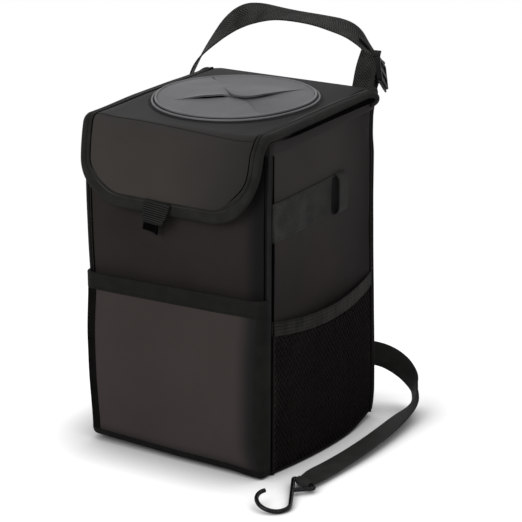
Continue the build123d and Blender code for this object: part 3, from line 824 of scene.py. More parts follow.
def webbing_section(width, thickness):
    """Flat woven section with rounded, slightly thicker edges: across and lift of each point."""
    half = width / 2
    lift = thickness / 2
    top = [(-half + 0.5, lift * 0.95), (-half + 1.6, lift), (-half / 2, lift * 0.86), (0, lift * 0.84),
           (half / 2, lift * 0.86), (half - 1.6, lift), (half - 0.5, lift * 0.95)]
    return [(-half, 0.25 * lift), *top, (half, 0.25 * lift),
            (half, -0.25 * lift), *[(a, -b) for a, b in reversed(top)], (-half, -0.25 * lift)]


band_tilt = 0.03
band_stitch_step = 3.6
keeper_shift = (6.5, 2.6)


def build_band(side, sign):
    middle = (band_low[2] + band_high[2]) / 2
    tall = band_high[2] - band_low[2]
    thickness = band_high[0] - band_low[0]
    y = np.linspace(band_low[1], band_high[1], 70)
    tilt = band_tilt * (y - band_low[1])
    lines = [on_wall(side, y, middle + across + tilt + 0.3 * np.sin(y / 31), thickness / 2 + lift + 0.05)
             for across, lift in webbing_section(tall, thickness)]
    piece = skin(side + "_band", "bin", settle(np.stack(lines, axis=1)), webbing)
    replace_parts(piece, side + "_side_band")
    rows = [spaced(settle(on_wall(side, y, z + tilt, thickness)), band_stitch_step)
            for z in (band_low[2] + 2, band_high[2] - 2)]
    places, along = map(np.concatenate, zip(*rows))
    stitches(side + "_band_stitches", "bin", places, along, np.array((sign, 0.0, 0.0)))


def build_keeper(side, sign):
    """Raised webbing loop over the band: a bridge with its ends turned under."""
    foot = keeper_low[0] - half_width
    rise = keeper_high[0] - half_width - foot
    middle = (keeper_low[2] + keeper_high[2]) / 2 + keeper_shift[1]
    tall = (keeper_high[2] - keeper_low[2]) / 2
    width = keeper_high[1] - keeper_low[1]
    centre = (keeper_high[1] + keeper_low[1]) / 2 + keeper_shift[0]
    thickness = 1.4
    turn = np.linspace(-1, 1, 41)
    path = np.column_stack([foot + rise * (1 - np.abs(turn) ** 5.0),
                            middle + tall * np.sign(turn) * (1 - (1 - np.abs(turn)) ** 1.35)])
    across, lift = np.transpose(webbing_section(width, thickness))
    sunk = lift - thickness / 2
    rings = []
    for (out, height), (run_out, run_up) in zip(path, headings(path)):
        spot = np.maximum(out + run_up * sunk, foot + 0.05)
        rings.append(side_point(sign, centre + across, height - run_out * sunk, spot))
    piece = skin(side + "_keeper", "bin", settle(rings), twill)
    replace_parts(piece, side + "_band_keeper")
    # Painted shade: a near-black sheet under the loop, for the shade in its slot
    inside = tall - 2.4
    y, z = np.meshgrid(centre + np.linspace(-width / 2 - 5, width / 2 - 1, 12),
                       np.linspace(middle - inside, middle + inside, 24))
    sheets = [settle(on_wall(side, y, z, foot + out)) for out in (0.35, -0.25)]
    slab(side + "_keeper_painted_shade", "bin", *sheets, dark_tape_painted_shade, "webbing")


# Lid
lid_groove_inset = 4.0
lid_seam_radius = 0.6
lid_lip_radius = 0.6
under_edge_shade_radius = 1.4
corner_roll_radius = 4.0
fold_seam_radius = 0.34
ring_stitch_step = 4.2
fold_length = fold_radius * fold_turn
flap_length = bow_radius * bow_turn
lid_length = top_run + fold_length + flap_length - flap_trim


def lid_point(along, across, height):
    """A point of the soft lid: distance along its underside from the hinge, across it, and out from it."""
    along, across, height = np.broadcast_arrays(along, across, height)
    drawn_in = 0.048 * smooth(along, top_run - 6, top_run + 16)
    drawn_in = drawn_in + 0.045 * smooth(along, top_run + 14, top_run + 60)
    across = across * (1 - drawn_in * (across > 0))
    straight = np.minimum(along, top_run)
    fold = np.clip((along - top_run) / fold_radius, 0, fold_turn)
    bow = np.clip((along - top_run - fold_length) / bow_radius, 0, None)
    first = lid_heading
    second = first + fold
    third = second + bow
    y = hinge_y + straight * math.cos(first) + fold_radius * (np.sin(second) - math.sin(first))
    y = y + bow_radius * (np.sin(third) - np.sin(second)) + height * np.sin(third)
    z = hinge_z + straight * math.sin(first) - fold_radius * (np.cos(second) - math.cos(first))
    z = z - bow_radius * (np.cos(third) - np.cos(second)) - height * np.cos(third)
    return settle(stacked(across, y, z), True)


def lid_half(along, corner):
    """Half the lid's width at a distance along it, where its flap has a corner of the given radius."""
    past = np.clip(along - (lid_length - corner), 0, corner)
    return lid_half_width - corner + np.sqrt(corner**2 - past**2)


def lid_soft(along, across):
    """How far the lid's padded cloth stands out from its flat board."""
    place = stacked(across, along, 0.0)
    on_flap = smooth(along, top_run + 6, top_run + 30)
    pad = 1.1 * on_flap * (1 - (across / lid_half_width) ** 2)
    return pad + 0.35 * drift(place, 40, 21) + 0.5 * on_flap * drift(place, 60, 22)


def build_lid():
    rows = np.concatenate([
        np.linspace(0, top_run, 56)[:-1],
        np.linspace(top_run, top_run + fold_length, 9)[:-1],
        np.linspace(top_run + fold_length, lid_length - right_flap_corner, 10)[:-1],
        lid_length - right_flap_corner * (1 - np.sin(np.linspace(0, math.pi / 2, 22))),
    ])
    shares = np.linspace(-1, 1, 61)
    along = np.broadcast_to(rows[:, None], (len(rows), len(shares)))
    left = lid_half(rows, left_flap_corner)[:, None]
    right = lid_half(rows, right_flap_corner)[:, None]
    across = np.where(shares < 0, left, right) * shares
    edge = smooth(np.abs(shares), 0.86, 0.96)[None, :]
    end = smooth(along, lid_length - 14, lid_length - 6)
    flat = np.maximum(edge, end)
    outer = lid_point(along, across, lid_thickness + lid_soft(along, across) * (1 - flat))
    lid = slab("lid_cover", None, outer, lid_point(along, across, 0.0), lid_cloth, "lid_fabric")
    cut_opening(lid)
    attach(lid, "lid")
    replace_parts(lid, "lid_panel")


def cut_opening(lid):
    """Cuts the round opening through the lid."""
    turn = np.linspace(0, FULL_TURN, 96, endpoint=False)
    radius = opening_radius - 0.5
    rings = [lid_point(opening_along - radius * np.sin(turn), radius * np.cos(turn), height)
             for height in (-20, 30)]
    cutter = skin("opening_cutter", None, rings, lid_cloth, flat_ends=False)
    cut = lid.modifiers.new("opening", "BOOLEAN")
    cut.operation = "DIFFERENCE"
    cut.object = cutter
    cut.solver = "EXACT"
    graph = bpy.context.evaluated_depsgraph_get()
    result = bpy.data.meshes.new_from_object(lid.evaluated_get(graph))
    lid.modifiers.clear()
    lid.data = result
    bpy.data.objects.remove(cutter)


def outline_half(corner, sign, step):
    """One side of the lid's free edge, from the hinge to the middle of the flap's end."""
    half = lid_half_width
    bend = lid_length - corner
    fold_end = top_run + fold_length
    run = np.concatenate([np.arange(0, top_run - 2, step), np.linspace(top_run - 1, fold_end + 1, 11),
                          np.arange(fold_end + step, bend, step)])
    spots = [(along, half, 0, 1) for along in run]
    for turn in np.linspace(0, math.pi / 2, 26):
        down = math.sin(turn)
        out = math.cos(turn)
        spots.append((bend + corner * down, half - corner + corner * out, down, out))
    spots += [(lid_length, across, 1, 0) for across in np.arange(half - corner - step, 0, -step)]
    return np.array(spots) * (1, sign, 1, sign)


def lid_outline(step=3.0):
    """The lid's free edge, as points along and across it and outward directions there."""
    left = outline_half(left_flap_corner, -1, step)
    right = outline_half(right_flap_corner, 1, step)
    spots = np.concatenate([left, right[::-1]])
    return spots[:, :2], spots[:, 2:]


def build_lid_tape():
    """Tape folded over the lid's edge, with a sewn groove, wider along the flap's end."""
    spots, outward = lid_outline()
    widths = lid_tape_width + lid_end_tape_extra * smooth(spots[:, 0], lid_length - 40, lid_length - 6)
    bunched = 1.2 * (1 - smooth(spots[:, 0], 2, 11))
    low_lip = 0.45 * (1 - smooth(spots[:, 0], 34, 60))
    thick = lid_thickness

    def inside(inset, height):
        """The line along the lid that lies the given distance in from its edge."""
        along, across = (spots - outward * inset[:, None]).T
        return lid_point(along, across, height)

    section = [(1, 0.0, thick + 0.1), (1, -0.6, thick + 0.8), (1, -2.0, thick + 1.05), (1, -3.3, thick + 0.8),
               (1, -4.0, thick + 0.1), (1, -4.8, thick + 0.9), (0.3, 0.0, thick + 1.25),
               (0, 1.2, thick + 0.95), (0, 0.1, thick + 0.1), (0, -0.75, thick * 0.62),
               (0, -0.8, thick * 0.35), (0, -0.1, -0.2), (0, 1.4, -0.75), (0, 4.0, -0.8), (1, -1.0, -0.7),
               (1, 0.0, -0.1), (1, -0.4, 0.4), (0, 1.5, 0.6), (0, 1.2, thick - 0.6), (1, -0.4, thick - 0.5)]
    lines = []
    for share, inset, height in section:
        lift = (bunched - low_lip * (height - thick)) * (height > thick)
        lines.append(inside(share * widths + inset, height + lift))
    piece = skin("lid_tape", "lid", np.stack(lines, axis=1), lid_edging)
    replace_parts(piece, "lid_binding")
    places, along = spaced(inside(widths - lid_groove_inset, thick + 0.3 + bunched), stitch_step)
    over, _ = spaced(inside(widths - lid_groove_inset, thick + 3.5 + bunched), stitch_step)
    count = min(len(places), len(over))
    up = over[:count] - places[:count]
    stitches("lid_stitches", "lid", places[:count], along[:count], up)
    # Painted shade: a matt black tube along the tape's inner border, for the shade line at its edge
    border = inside(widths + 0.35, thick + 0.05)
    tube("lid_tape_seam", "lid", border, lid_seam_radius, 6, matt_painted_shade)


def build_lid_lip():
    """Pale raised lip on the tape's inner border, as a painted highlight, and a dark tube that paints the
    shade under the lid's two long edges.
    """
    along = np.linspace(9, top_run - 16, 80)
    height = lid_thickness + 0.55 + 0.45 * smooth(along, 34, 60)
    reach = lid_half_width - lid_tape_width + 1.5 + 3.5 * (1 - smooth(along, 9, 44))
    lip_girth = 1 - 0.7 * smooth(along, top_run - 62, top_run - 30)
    shade_tube_girth = (1 - 0.8 * smooth(along, top_run - 42, top_run - 16)) * (1.5 - 0.5 * smooth(along, 20, 110))
    for name, sign in (("left", -1), ("right", 1)):
        lip = lid_point(along, sign * reach, height)
        tube("painted_highlight_lip_" + name, "lid", lip, lid_lip_radius, 8, painted_highlight_lip, lip_girth)
        # Painted shade: a matt black tube under each long edge, for the shade between the lid and the rim
        fold = lid_point(along, sign * (lid_half_width + 0.7), -2.0)
        tube("lid_painted_shade_" + name, "lid", fold, under_edge_shade_radius, 10, matt_painted_shade, shade_tube_girth)


def build_corner_roll():
    """Rolled end of the lid's tape at the back right corner, where it hangs over the rim."""
    reach = lid_half_width
    path = spline([(28, reach - 3.4, 3.0), (14, reach - 1.6, 2.6), (6, reach - 0.3, 0.9),
                   (3.5, reach + 0.3, -2.4), (6, reach + 0.4, -5.4), (12, reach - 0.2, -6.8)], 6)
    girth = 0.4 + 0.6 * np.sin(math.pi * np.linspace(0, 1, len(path))) ** 0.5
    line = lid_point(*path.T)
    tube("lid_corner_roll", "lid", line, corner_roll_radius, 12, lid_edging, girth)


def build_fold_seam():
    """Sewn line across the lid, in the fold of the flap."""
    reach = lid_half_width - lid_tape_width - 2
    across = np.linspace(-reach, reach, 90)
    along = top_run + fold_length * (0.3 + 0.45 * smooth(across, -50, 80))
    flat = smooth(np.abs(across) / lid_half_width, 0.86, 0.96)
    height = lid_thickness - 0.02 + lid_soft(along, across) * (1 - flat)
    line = lid_point(along, across, height)
    tube("fold_seam", "lid", line, fold_seam_radius, 6, thread)


def ring_point(x, y, height):
    """A point over the opening, from its middle, the given distance above the lid's outer face."""
    return lid_point(opening_along - y, x, lid_thickness + height)


def ring_band(name, section, material):
    """A closed band round the opening, with a section of radius and height."""
    turn = np.linspace(0, FULL_TURN, 180, endpoint=False)
    lines = [ring_point(radius * np.cos(turn), radius * np.sin(turn), height) for radius, height in section]
    return skin(name, "lid", np.stack(lines, axis=1), material, closed=True)


def build_ring():
    """Dark ring tape with two light piped beads and a sewn skirt."""
    inner = opening_radius - 1.6
    r = opening_radius
    section = [(inner, 0.2), (inner, 2.4), (r - 0.2, 2.5), (r + 0.2, 3.2), (r + 2.0, 3.0), (r + 3.1, 1.9),
               (r + 4.8, 1.4), (r + 5.4, 0.7), (ring_outer - 0.5, 0.4), (ring_outer - 0.1, 0.1),
               (ring_outer - 0.1, -0.3), (inner + 1.5, -0.6)]
    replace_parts(ring_band("opening_tape", section, ring_cloth), "opening_ring")
    around = np.linspace(0, FULL_TURN, 10, endpoint=False)
    beads = (("opening_inner_bead", r + 1.1, 3.7, 1.1), ("opening_outer_bead", r + 4.2, 1.9, 0.95))
    for name, radius, height, girth in beads:
        section = np.column_stack([radius + girth * np.cos(around), height + girth * np.sin(around)])
        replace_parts(ring_band(name, section, ring_skin), "opening_ring")
    radius = r + 6.6
    circle = np.linspace(0, FULL_TURN, 300)
    line = ring_point(radius * np.cos(circle), radius * np.sin(circle), 0.55)
    places, along = spaced(line, ring_stitch_step)
    stitches("ring_stitches", "lid", places, along, np.array((0.0, 0.0, 1.0)), 2.2, 0.3)


# Petals: two slits that cross, with the back right petal's rounded tip lying over the other three
petal_middle = (6.0, -8.0)
petal_tip = (20.0, -29.5)
petal_tip_round = 16.5
left_slit_end = (-35.0, -38.5)
right_slit_end = (43.0, 52.0)
back_slit_end = (-40.0, 31.0)
front_slit_end = (49.0, -41.0)
petal_thickness = 1.5


def petal_edge(middle, angle):
    """Distance from a point over the opening to the ring, in the given direction."""
    direction = np.stack([np.cos(angle), np.sin(angle)], axis=-1)
    middle = np.array(middle)
    along = direction @ middle
    return -along + np.sqrt(along**2 - middle @ middle + (opening_radius - 0.3) ** 2)


def petal_grid(middle, first_end, last_end, tip_round=0.0):
    """Plan points of a petal between two slits, with how far each is from its middle and from the slits."""
    first = math.atan2(first_end[1] - middle[1], first_end[0] - middle[0])
    last = math.atan2(last_end[1] - middle[1], last_end[0] - middle[0])
    last += FULL_TURN if last < first else 0.0
    angle, share = np.meshgrid(np.linspace(first, last, 44), np.linspace(0.0, 1.0, 44))
    swing = angle - (first + last) / 2
    away = tip_round / math.sin((last - first) / 2)
    tip = away * np.cos(swing) - np.sqrt(np.maximum(tip_round**2 - (away * np.sin(swing)) ** 2, 0))
    reach = tip + (petal_edge(middle, angle) - tip) * share
    x = middle[0] + reach * np.cos(angle)
    y = middle[1] + reach * np.sin(angle)
    from_first = reach * np.sin(np.clip(angle - first, 0, math.pi / 2))
    from_last = reach * np.sin(np.clip(last - angle, 0, math.pi / 2))
    return x, y, reach, from_first, from_last


def build_petal(name, grid, lift, seed, material):
    x, y = grid[:2]
    radius = np.hypot(x, y) / opening_radius
    place = stacked(x, y, 0.0)
    rumple = 0.4 * drift(place, 21, seed) * (1 - smooth(radius, 0.82, 1.0))
    top = 4.0 + 1.3 * (1 - radius**2) + lift * (1 - smooth(radius, 0.8, 0.98)) + rumple
    sheets = [ring_point(x, y, height) for height in (top, top - petal_thickness)]
    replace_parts(slab(name, "lid", *sheets, material, "petal_leather"), "opening_petals")


def fading(reach, start, end, from_slit, width):
    """A share that fades with the distance from a petal's middle and from one of its slits."""
    return (1 - smooth(reach, start, end)) * np.exp(-from_slit / width)


def build_petals():
    """Four soft petals: the left slit gapes, and the back right petal lies on the others; the two right
    petals are darker, as painted shade.
    """
    grid = petal_grid(petal_middle, back_slit_end, left_slit_end)
    _, _, reach, first, last = grid
    gape = smooth(reach, 4, 14) * fading(reach, 26, 60, last, 9)
    ridge = smooth(reach, 4, 12) * fading(reach, 24, 50, first, 4)
    build_petal("petal_back_left", grid, 2.2 * gape + 1.2 * ridge, 31, petal_skin)
    grid = petal_grid(petal_middle, left_slit_end, front_slit_end)
    _, _, reach, first, last = grid
    ridge = smooth(reach, 16, 24) * fading(reach, 36, 58, last, 5)
    build_petal("petal_front_left", grid, ridge - 0.9 * fading(reach, 20, 56, first, 9), 32, petal_skin)
    grid = petal_grid(petal_middle, front_slit_end, right_slit_end)
    _, _, reach, first, last = grid
    sunk = 0.8 * fading(reach, 24, 58, first, 12) + 0.6 * fading(reach, 20, 60, last, 8)
    build_petal("petal_front_right", grid, -sunk, 33, petal_painted_shade)
    grid = petal_grid(petal_tip, right_slit_end, back_slit_end, petal_tip_round)
    _, _, reach, first, _ = grid
    lift = 2.7 * (1 - smooth(reach, 16, 76)) + 0.6 * fading(reach, 50, 82, first, 10)
    build_petal("petal_back_right", grid, lift, 34, petal_painted_shade)


# Closure pads and pull tab
pile_height = 1.9
pile_round = 2.0
nap_height = 0.22
nap_size = 2.2


def pile(first, second, seed):
    """Height of a pad's napped pile over a grid of two distances, rounded at the pad's edges."""
    sides = [first - first.min(), first.max() - first, second - second.min(), second.max() - second]
    swell = np.sqrt(np.clip(np.min(sides, axis=0) / pile_round, 0.02, 1))
    place = stacked(first, second, 0.0)
    return pile_height * swell + nap_height * drift(place, nap_size, seed)


def build_pads():
    columns = np.linspace(loop_pad_low[0], loop_pad_high[0], 60)
    x, z = np.meshgrid(columns, np.linspace(loop_pad_low[2], loop_pad_high[2], 20))
    sheets = [settle(on_wall("front", x, z, out)) for out in (pile(x, z, 40), -0.3)]
    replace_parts(slab("loop_pad", "bin", *sheets, fuzz, "closure"), "closure_loop_pad")
    tall = hook_pad_high[2] - hook_pad_low[2]
    pad_end = lid_length + flap_trim - 14
    along, across = np.meshgrid(np.linspace(pad_end - tall, pad_end, 20), columns, indexing="ij")
    sheets = [lid_point(along, across, height) for height in (-pile(along, across, 41), 0.3)]
    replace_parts(slab("hook_pad", "lid", *sheets, fuzz, "closure"), "closure_hook_pad")


tab_turn = 0.1
tab_lean = -0.34
tab_narrowing = 0.22
tab_rib_pitch = 2.1


def build_pull_tab():
    """Folded ribbed webbing: sewn flat on the flap's tape, then a hanging loop."""
    centre = (tab_low[0] + tab_high[0]) / 2 + 3.6
    width = tab_high[0] - tab_low[0]
    end = lid_length
    top = end - 12.0
    thickness = 1.3
    gap = 4.6
    drop = 9.0
    base = lid_thickness + 1.4
    profile = [(top, 0.4), (end - 4, 0.8), (end + 2, 0.6), (end + drop - 4, 0.2), (end + drop, gap / 2),
               (end + drop - 4, gap + 0.5), (end + 2, gap + 0.4), (end - 4, 2.9), (top + 0.5, 1.9)]
    path = spline([(along, base + out, 0) for along, out in profile], 6)[:, :2]
    rings = []
    for (along, out), (run_along, run_out), run in zip(path, headings(path), run_lengths(path)):
        rib = 1 + 0.32 * math.sin(run * FULL_TURN / tab_rib_pitch)
        narrow = 1 - tab_narrowing * smooth(along, end - 6, end + drop)
        across, lift = np.transpose(webbing_section(width * narrow, thickness * rib))
        rings.append(lid_point(along + run_out * lift + tab_turn * across,
                               centre + across + tab_lean * (along - top), out - run_along * lift))
    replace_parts(skin("pull_loop", "lid", rings, grosgrain), "pull_tab")
    build_tab_end(centre, width * (1 - tab_narrowing), base, top, end + drop)


def build_tab_end(centre, width, base, top, bottom):
    """The loop's inner leaf, which hangs below the folded front leaf, in matt black as painted shade for the
    hollow inside the loop.
    """
    profile = [(lid_length - 2, 1.6), (lid_length + 4, 2.0), (bottom - 2, 1.5), (bottom + 5, 0.9),
               (bottom + 7.0, 1.6)]
    across, lift = np.transpose(webbing_section(width * 0.86, 1.2))
    curl = 2.6 * smooth(across, 0.1 * width, 0.43 * width)
    rings = [lid_point(along + tab_turn * across, centre - 0.14 * width + across + tab_lean * (along - top),
                       out + lift + curl)
             for along, out, _ in spline([(along, base + out, 0) for along, out in profile], 5)]
    skin("pull_loop_end", "lid", rings, matt_painted_shade)


# Smooth routes
def spline(points, detail):
    """Points along a smooth curve that has the given points as its control points."""
    curve = bpy.data.curves.new("route", "CURVE")
    curve.dimensions = "3D"
    curve.resolution_u = detail
    line = curve.splines.new("NURBS")
    line.points.add(len(points) - 1)
    for control, point in zip(line.points, points):
        control.co = (*[float(value) for value in point], 1.0)
    line.order_u = 3
    line.use_endpoint_u = True
    bare = bpy.data.objects.new("route", curve)
    mesh = bpy.data.meshes.new_from_object(bare)
    path = np.array([tuple(vertex.co) for vertex in mesh.vertices])
    bpy.data.meshes.remove(mesh)
    bpy.data.objects.remove(bare)
    bpy.data.curves.remove(curve)
    return path


def ribbon(name, stations, reference, material):
    """Webbing along a smooth route of x, y, z, roll in degrees and width share, with the route's points."""
    stations = np.array(stations, float)
    path = spline(stations[:, :3], ribbon_detail)
    turns = spline([(roll, share, 0) for roll, share in stations[:, 3:5]], ribbon_detail)
    rings = []
    for point, run, (roll, share, _) in zip(path, headings(path), turns):
        flat = unit(np.array(reference, float) - run * run.dot(reference))
        turn = math.radians(roll)
        across_way = flat * math.cos(turn) + np.cross(run, flat) * math.sin(turn)
        normal = np.cross(run, across_way)
        section = webbing_section(strap_width * share, strap_thickness)
        rings.append([point + across_way * across + normal * lift for across, lift in section])
    return skin(name, "bin", rings, material), path


# The carry strap's route: x, distance behind the back wall, height and roll
carry_left = (
    (-62, 1, 236, 90), (-80, 2.6, 252, 88), (-103, 11, 268, 50), (-119, 15.5, 286, 27), (-116, 18, 297, 20),
    (-110.5, 23, 309.5, 22), (-101.5, 30, 323, 34), (-90.5, 35.5, 336.5, 49), (-77, 40.5, 347, 58),
    (-62, 42, 350.6, 42), (-43, 43, 351.8, 18), (-25, 43, 352, 9), (4, 43, 351, 9), (28, 41, 348.5, 17),
    (42.2, 38.5, 344.4, 11), (54, 35.5, 336.5, -7), (65.5, 32, 328.5, -19),
)
carry_return = (
    (66, 1, 240, -90), (65.5, 4, 266, -93), (65, 11, 293, -97), (64, 16, 301, -98), (62.3, 23, 313.4, -100),
    (62.4, 29, 325, -104), (62.8, 32.5, 332, -108),
)
carry_fold = ((52, 39, 340, -9), (58.3, 38.5, 335.5, -13), (64.8, 37, 329.5, -18), (71.5, 35, 322.8, -22))
carry_tail = ((80.5, 25, 321, 0), (79, 24, 315, 2), (77, 22.5, 307, 4), (74.8, 21, 298, 6), (74, 20, 292, 8))
strap_width = 25
strap_thickness = 1.6
ribbon_detail = 10
carry_end_share = 0.42
slider_centre = np.array((80.5, half_depth + 26, 313.5))
slider_heading = math.radians(-67)
slider_roll = -25
slider_reach = 11
strap_lean = math.radians(25)


def carry_stations(route, share=1.0):
    return [(x, half_depth + back, z, roll, share) for x, back, z, roll in route]


def build_carry_strap():
    heading = np.array((math.cos(slider_heading), 0, math.sin(slider_heading)))
    heading[1] = heading[2] * math.tan(strap_lean)
    heading = unit(heading)
    stations = carry_stations(carry_left)
    for along in (-slider_reach - 2, -slider_reach - 0.5, 0, slider_reach + 0.5, slider_reach + 3):
        stations.append((*(slider_centre + heading * along), slider_roll, 1.0))
    strap, _ = ribbon("carry_webbing", stations, (0, 1, 0), webbing)
    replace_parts(strap, "carry_strap")
    stations = [(x + 3.2 * float(smooth(z, 250, 290)), y, z, *rest)
                for x, y, z, *rest in carry_stations(carry_return)]
    right, _ = ribbon("carry_webbing_right", stations, (0, 1, 0), webbing)
    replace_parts(right, "carry_strap")
    # Painted shade: the strap's second layer at the fold and its tail are near-black strips, for the shade on
    # them
    for name, route in (("carry_fold", carry_fold), ("carry_tail", carry_tail)):
        ribbon(name, carry_stations(route, carry_end_share), (0, 1, 0), dark_tape_painted_shade)


# The hook strap's route: x, y, height and roll
hook_route = (
    (-10, 90.1, 52, 0), (16, 92, 52, 2), (42, 101, 51.5, 5), (66, 110.5, 50.3, 8), (79, 115.5, 49, 10),
    (89, 120.5, 46, 12), (99, 124.5, 40, 13), (108, 126, 32.9, 12), (116, 124, 25.3, 5),
    (120.5, 119, 17.8, -7), (122.5, 113, 13, -27), (123.5, 104, 9.4, -50), (124.5, 90, 6.8, -64),
    (127.3, 60, 4.9, -73), (129.2, 25, 3.9, -77), (129.6, -12, 3.3, -80), (128, -45, 2.6, -84),
    (127, -62, 2.8, -87), (128.5, -79, 4.0, -92), (129.0, -90.2, 4.6, -95),
)
loop_share = 0.62
neck_share = 0.81
bar_middle = np.array((129.5, -92.5, 4.6))
bar_way = np.array((0.966293, -0.250335, -0.06008))
hook_bar = 27
hook_leg = 51
hook_leg_angle = 47
hook_curl_radius = 14
hook_curl_sweep = 238
hook_tip_rise = 6
eye_reach = 24
eye_bend = 2.2
hook_girth = 1.9


def rounded_corners(corners, radius):
    """A flat path through the corners, with each inner one rounded."""
    path = [corners[0]]
    for before, corner, after in zip(corners, corners[1:], corners[2:]):
        first = unit(before - corner)
        last = unit(after - corner)
        reach = radius / math.tan(math.acos(float(first @ last)) / 2)
        for share in np.linspace(0, 1, 9):
            path.append(corner + reach * (first * (1 - share) ** 2 + last * share**2))
    return [*path, corners[-1]]


def build_hook():
    """Wire hook: a rounded curl whose tip stands up, a leg, and an eye whose bar lies in the strap's loop."""
    angle = math.radians(-hook_leg_angle)
    leg = np.array((math.cos(angle), math.sin(angle)))
    side = np.array((math.sin(angle), -math.cos(angle)))
    first = np.array((-hook_bar / 2, 0.0))
    leg_end = first + leg * hook_leg
    centre = leg_end + side * hook_curl_radius
    turns = np.radians(np.linspace(hook_curl_sweep, 0, 50))
    curl = [centre + hook_curl_radius * (leg * math.sin(t) - side * math.cos(t)) for t in turns]
    eye = rounded_corners([leg_end, first, np.array((hook_bar / 2, 0.0)), first + leg * eye_reach], eye_bend)
    flat = np.array([*curl, *eye[1:]])
    flat, _ = spaced(np.column_stack([flat, np.zeros(len(flat))]), 1.0)
    across = unit(np.cross((0.05, -0.04, 0.998), bar_way))
    line = bar_middle + flat[:, :1] * bar_way + flat[:, 1:2] * across
    curl_length = hook_curl_radius * math.radians(hook_curl_sweep)
    line[:, 2] += hook_tip_rise * (1 - smooth(np.arange(len(line)), 0, 0.72 * curl_length))
    return tube("wire_hook", "hook", line, hook_girth, 14, hook_gloss)


def build_hook_strap():
    hook = build_hook()
    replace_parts(hook, "strap_hook")
    shares = [1.0] * (len(hook_route) - 2) + [neck_share, loop_share]
    stations = [(*station, share) for station, share in zip(hook_route, shares)]
    strap, path = ribbon("hook_webbing", stations, (0, 0, 1), twill)
    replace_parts(strap, "hook_strap")
    inner = hook_girth + 0.25
    outer = inner + strap_thickness
    reach = strap_width * loop_share / 2
    side = unit(np.cross(bar_way, (0, 0, 1)))
    rise = np.cross(side, bar_way)
    half = [(outer, reach - 0.5), (outer - 0.3, reach), (inner + 0.4, reach), (inner, reach - 0.3)]
    section = [*[(radius, -along) for radius, along in half[::-1]], (outer + 0.12, 0), *half]
    rings = [[bar_middle + bar_way * along + radius * (math.cos(turn) * side + math.sin(turn) * rise)
              for radius, along in section] for turn in np.linspace(0, FULL_TURN, 28, endpoint=False)]
    loop = skin("hook_webbing_loop", "bin", rings, twill, closed=True)


def build_hinge_tape():
    """Tape sewn to the back wall and to the lid's back edge, which bends at the hinge."""
    low, high = box_mm("hinge_tape")
    x = np.linspace(low[0], high[0], 60)
    profile = [(low[1], low[2]), (low[1], high[2] - 2), (hinge_y + 0.3, hinge_z),
               (hinge_y + 0.35, hinge_z + 2), (hinge_y + 0.3, hinge_z + lid_thickness)]
    path = spline([(y, z, 0) for y, z in profile], 6)
    sheets = [settle([stacked(x, y + out, z) for y, z, _ in path]) for out in (0.8, 0.1)]
    piece = slab("hinge_strip", None, *sheets, binding, "binding_tape")
    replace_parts(piece, "hinge_tape")
    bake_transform(piece)


slider_rounding = 0.6


def dress_cad():
    """Finish of the rigid CAD piece that stays."""
    piece = frame["nodes"]["strap_slider"]
    piece.data.materials.clear()
    piece.data.materials.append(slider_plastic)
    rounding = piece.modifiers.new("rounding", "BEVEL")
    rounding.width = slider_rounding * MM
    rounding.segments = 2
    rounding.limit_method = "ANGLE"
    rounding.angle_limit = math.radians(40)


# Stage, light and camera
white = (1, 1, 1, 1)
floor_drop = 0.0004
floor_reach = 3.0
fade_start = 0.35
fade_end = 0.9
floor_glow = 0.82
shadow_reach = 0.06
shadow_depth = 2.3
soft_light = 0.35


def white_rays(tree):
    """1 for the rays that show the background: the camera's, those off a gloss, and those let through."""
    path = add_node(tree, "ShaderNodeLightPath", {})
    seen = calc(tree, "MAXIMUM", path.outputs["Is Camera Ray"], path.outputs["Is Glossy Ray"])
    return calc(tree, "MAXIMUM", seen, path.outputs["Is Transmission Ray"])


def build_stage():
    """A floor that takes the bin's shadow and fades to the white background."""
    mesh = bpy.data.meshes.new("floor")
    plan = ((-1, -1), (1, -1), (1, 1), (-1, 1))
    corners = [(x * floor_reach, y * floor_reach, -floor_drop) for x, y in plan]
    mesh.from_pydata(corners, [], [(0, 1, 2, 3)])
    floor = bpy.data.objects.new("floor", mesh)
    bpy.context.scene.collection.objects.link(floor)
    material = bpy.data.materials.new("floor_white")
    material.use_nodes = True
    tree = material.node_tree
    tree.nodes.remove(tree.nodes["Principled BSDF"])

    def part(kind, sockets):
        return add_node(tree, "ShaderNode" + kind, sockets).outputs[0]

    place = object_place(tree)
    length = add_node(tree, "ShaderNodeVectorMath", {0: place}, operation="LENGTH").outputs["Value"]
    seen = white_rays(tree)
    matte = part("BsdfDiffuse", {"Color": (0.85, 0.85, 0.85, 1)})
    shaded = part("BsdfDiffuse", {"Color": (0.45, 0.45, 0.45, 1)})
    open_sky = add_node(tree, "ShaderNodeAmbientOcclusion", {"Distance": shadow_reach}).outputs["AO"]
    level = calc(tree, "MULTIPLY", calc(tree, "POWER", open_sky, shadow_depth), floor_glow)
    glow = part("Emission", {"Color": white, "Strength": calc(tree, "MULTIPLY", seen, level)})
    lit = part("AddShader", {0: shaded, 1: glow})
    near = part("MixShader", {0: seen, 1: matte, 2: lit})
    far = part("Emission", {"Color": white, "Strength": 1.0})
    share = calc(tree, "MULTIPLY", ranged(tree, length, fade_start, fade_end), seen)
    faded = part("MixShader", {0: share, 1: near, 2: far})
    tree.links.new(faded, tree.nodes["Material Output"].inputs["Surface"])
    mesh.materials.append(material)


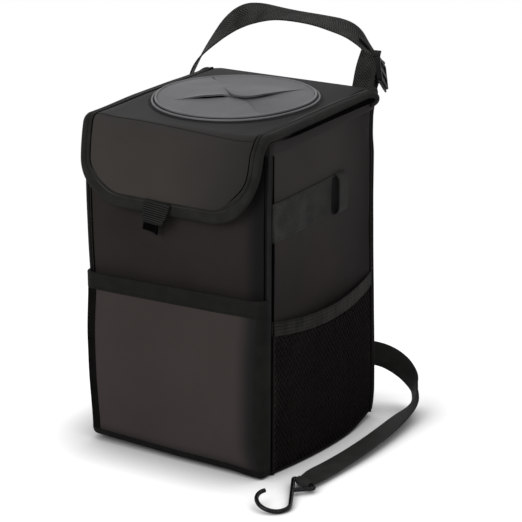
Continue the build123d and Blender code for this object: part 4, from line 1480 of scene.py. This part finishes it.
def build_world():
    """Soft light from all round, seen as plain white."""
    world = bpy.data.worlds.new("studio")
    bpy.context.scene.world = world
    world.use_nodes = True
    tree = world.node_tree
    soft = add_node(tree, "ShaderNodeBackground", {"Color": white, "Strength": soft_light}).outputs[0]
    plain = add_node(tree, "ShaderNodeBackground", {"Color": white, "Strength": 1.0}).outputs[0]
    shown = add_node(tree, "ShaderNodeMixShader", {0: white_rays(tree), 1: soft, 2: plain}).outputs[0]
    tree.links.new(shown, tree.nodes["World Output"].inputs["Surface"])


def area_light(name, place, aim, size, power):
    data = bpy.data.lights.new(name, "AREA")
    data.shape = "RECTANGLE"
    data.size, data.size_y = size
    data.energy = power
    light = bpy.data.objects.new(name, data)
    light.location = place
    light.rotation_euler = (Vector(aim) - Vector(place)).to_track_quat("-Z", "Y").to_euler()
    bpy.context.scene.collection.objects.link(light)


def build_lights():
    middle = (0, 0, 0.15)
    area_light("key", (-0.3, -1.6, 1.05), middle, (1.2, 1.0), 19)
    area_light("fill", (1.6, -0.6, 0.8), middle, (1.0, 1.2), 6)
    area_light("top", (0.1, 0.7, 1.65), middle, (1.2, 0.8), 8)


# The camera, fitted to the photograph's frame
frame_pixels = 522
focal_pixels = 2188
centre_offset = (25.4, 5.3)
camera_yaw = math.radians(32.94)
camera_pitch = math.radians(17.39)
camera_distance = 1947
camera_target = np.array((0, 0, 150))


def build_camera():
    back = np.array((math.sin(camera_yaw) * math.cos(camera_pitch),
                     -math.cos(camera_yaw) * math.cos(camera_pitch), math.sin(camera_pitch)))
    data = bpy.data.cameras.new("camera")
    data.sensor_width = 36
    data.lens = data.sensor_width * focal_pixels / frame_pixels
    data.shift_x = centre_offset[0] / frame_pixels
    data.shift_y = centre_offset[1] / frame_pixels
    camera = bpy.data.objects.new("camera", data)
    camera.location = (camera_target + back * camera_distance) * MM
    camera.rotation_euler = Vector(-back).to_track_quat("-Z", "Y").to_euler()
    bpy.context.scene.collection.objects.link(camera)
    bpy.context.scene.camera = camera


build_camera()
build_hook_strap()
build_carry_strap()
build_walls()
build_base()
build_piping()
build_rim_tape()
build_liner()
build_front_pocket()
build_pocket_border()
build_pocket_tape()
for side, sign in (("right", 1), ("left", -1)):
    build_net(side, sign)
    build_elastic(side, sign)
    build_band(side, sign)
    build_keeper(side, sign)
build_lid()
build_lid_tape()
build_lid_lip()
build_corner_roll()
build_fold_seam()
build_ring()
build_petals()
build_pads()
build_pull_tab()
build_hinge_tape()
dress_cad()
build_stage()
build_world()
build_lights()
bpy.context.scene.view_settings.view_transform = "Standard"

bpy.context.view_layer.update()
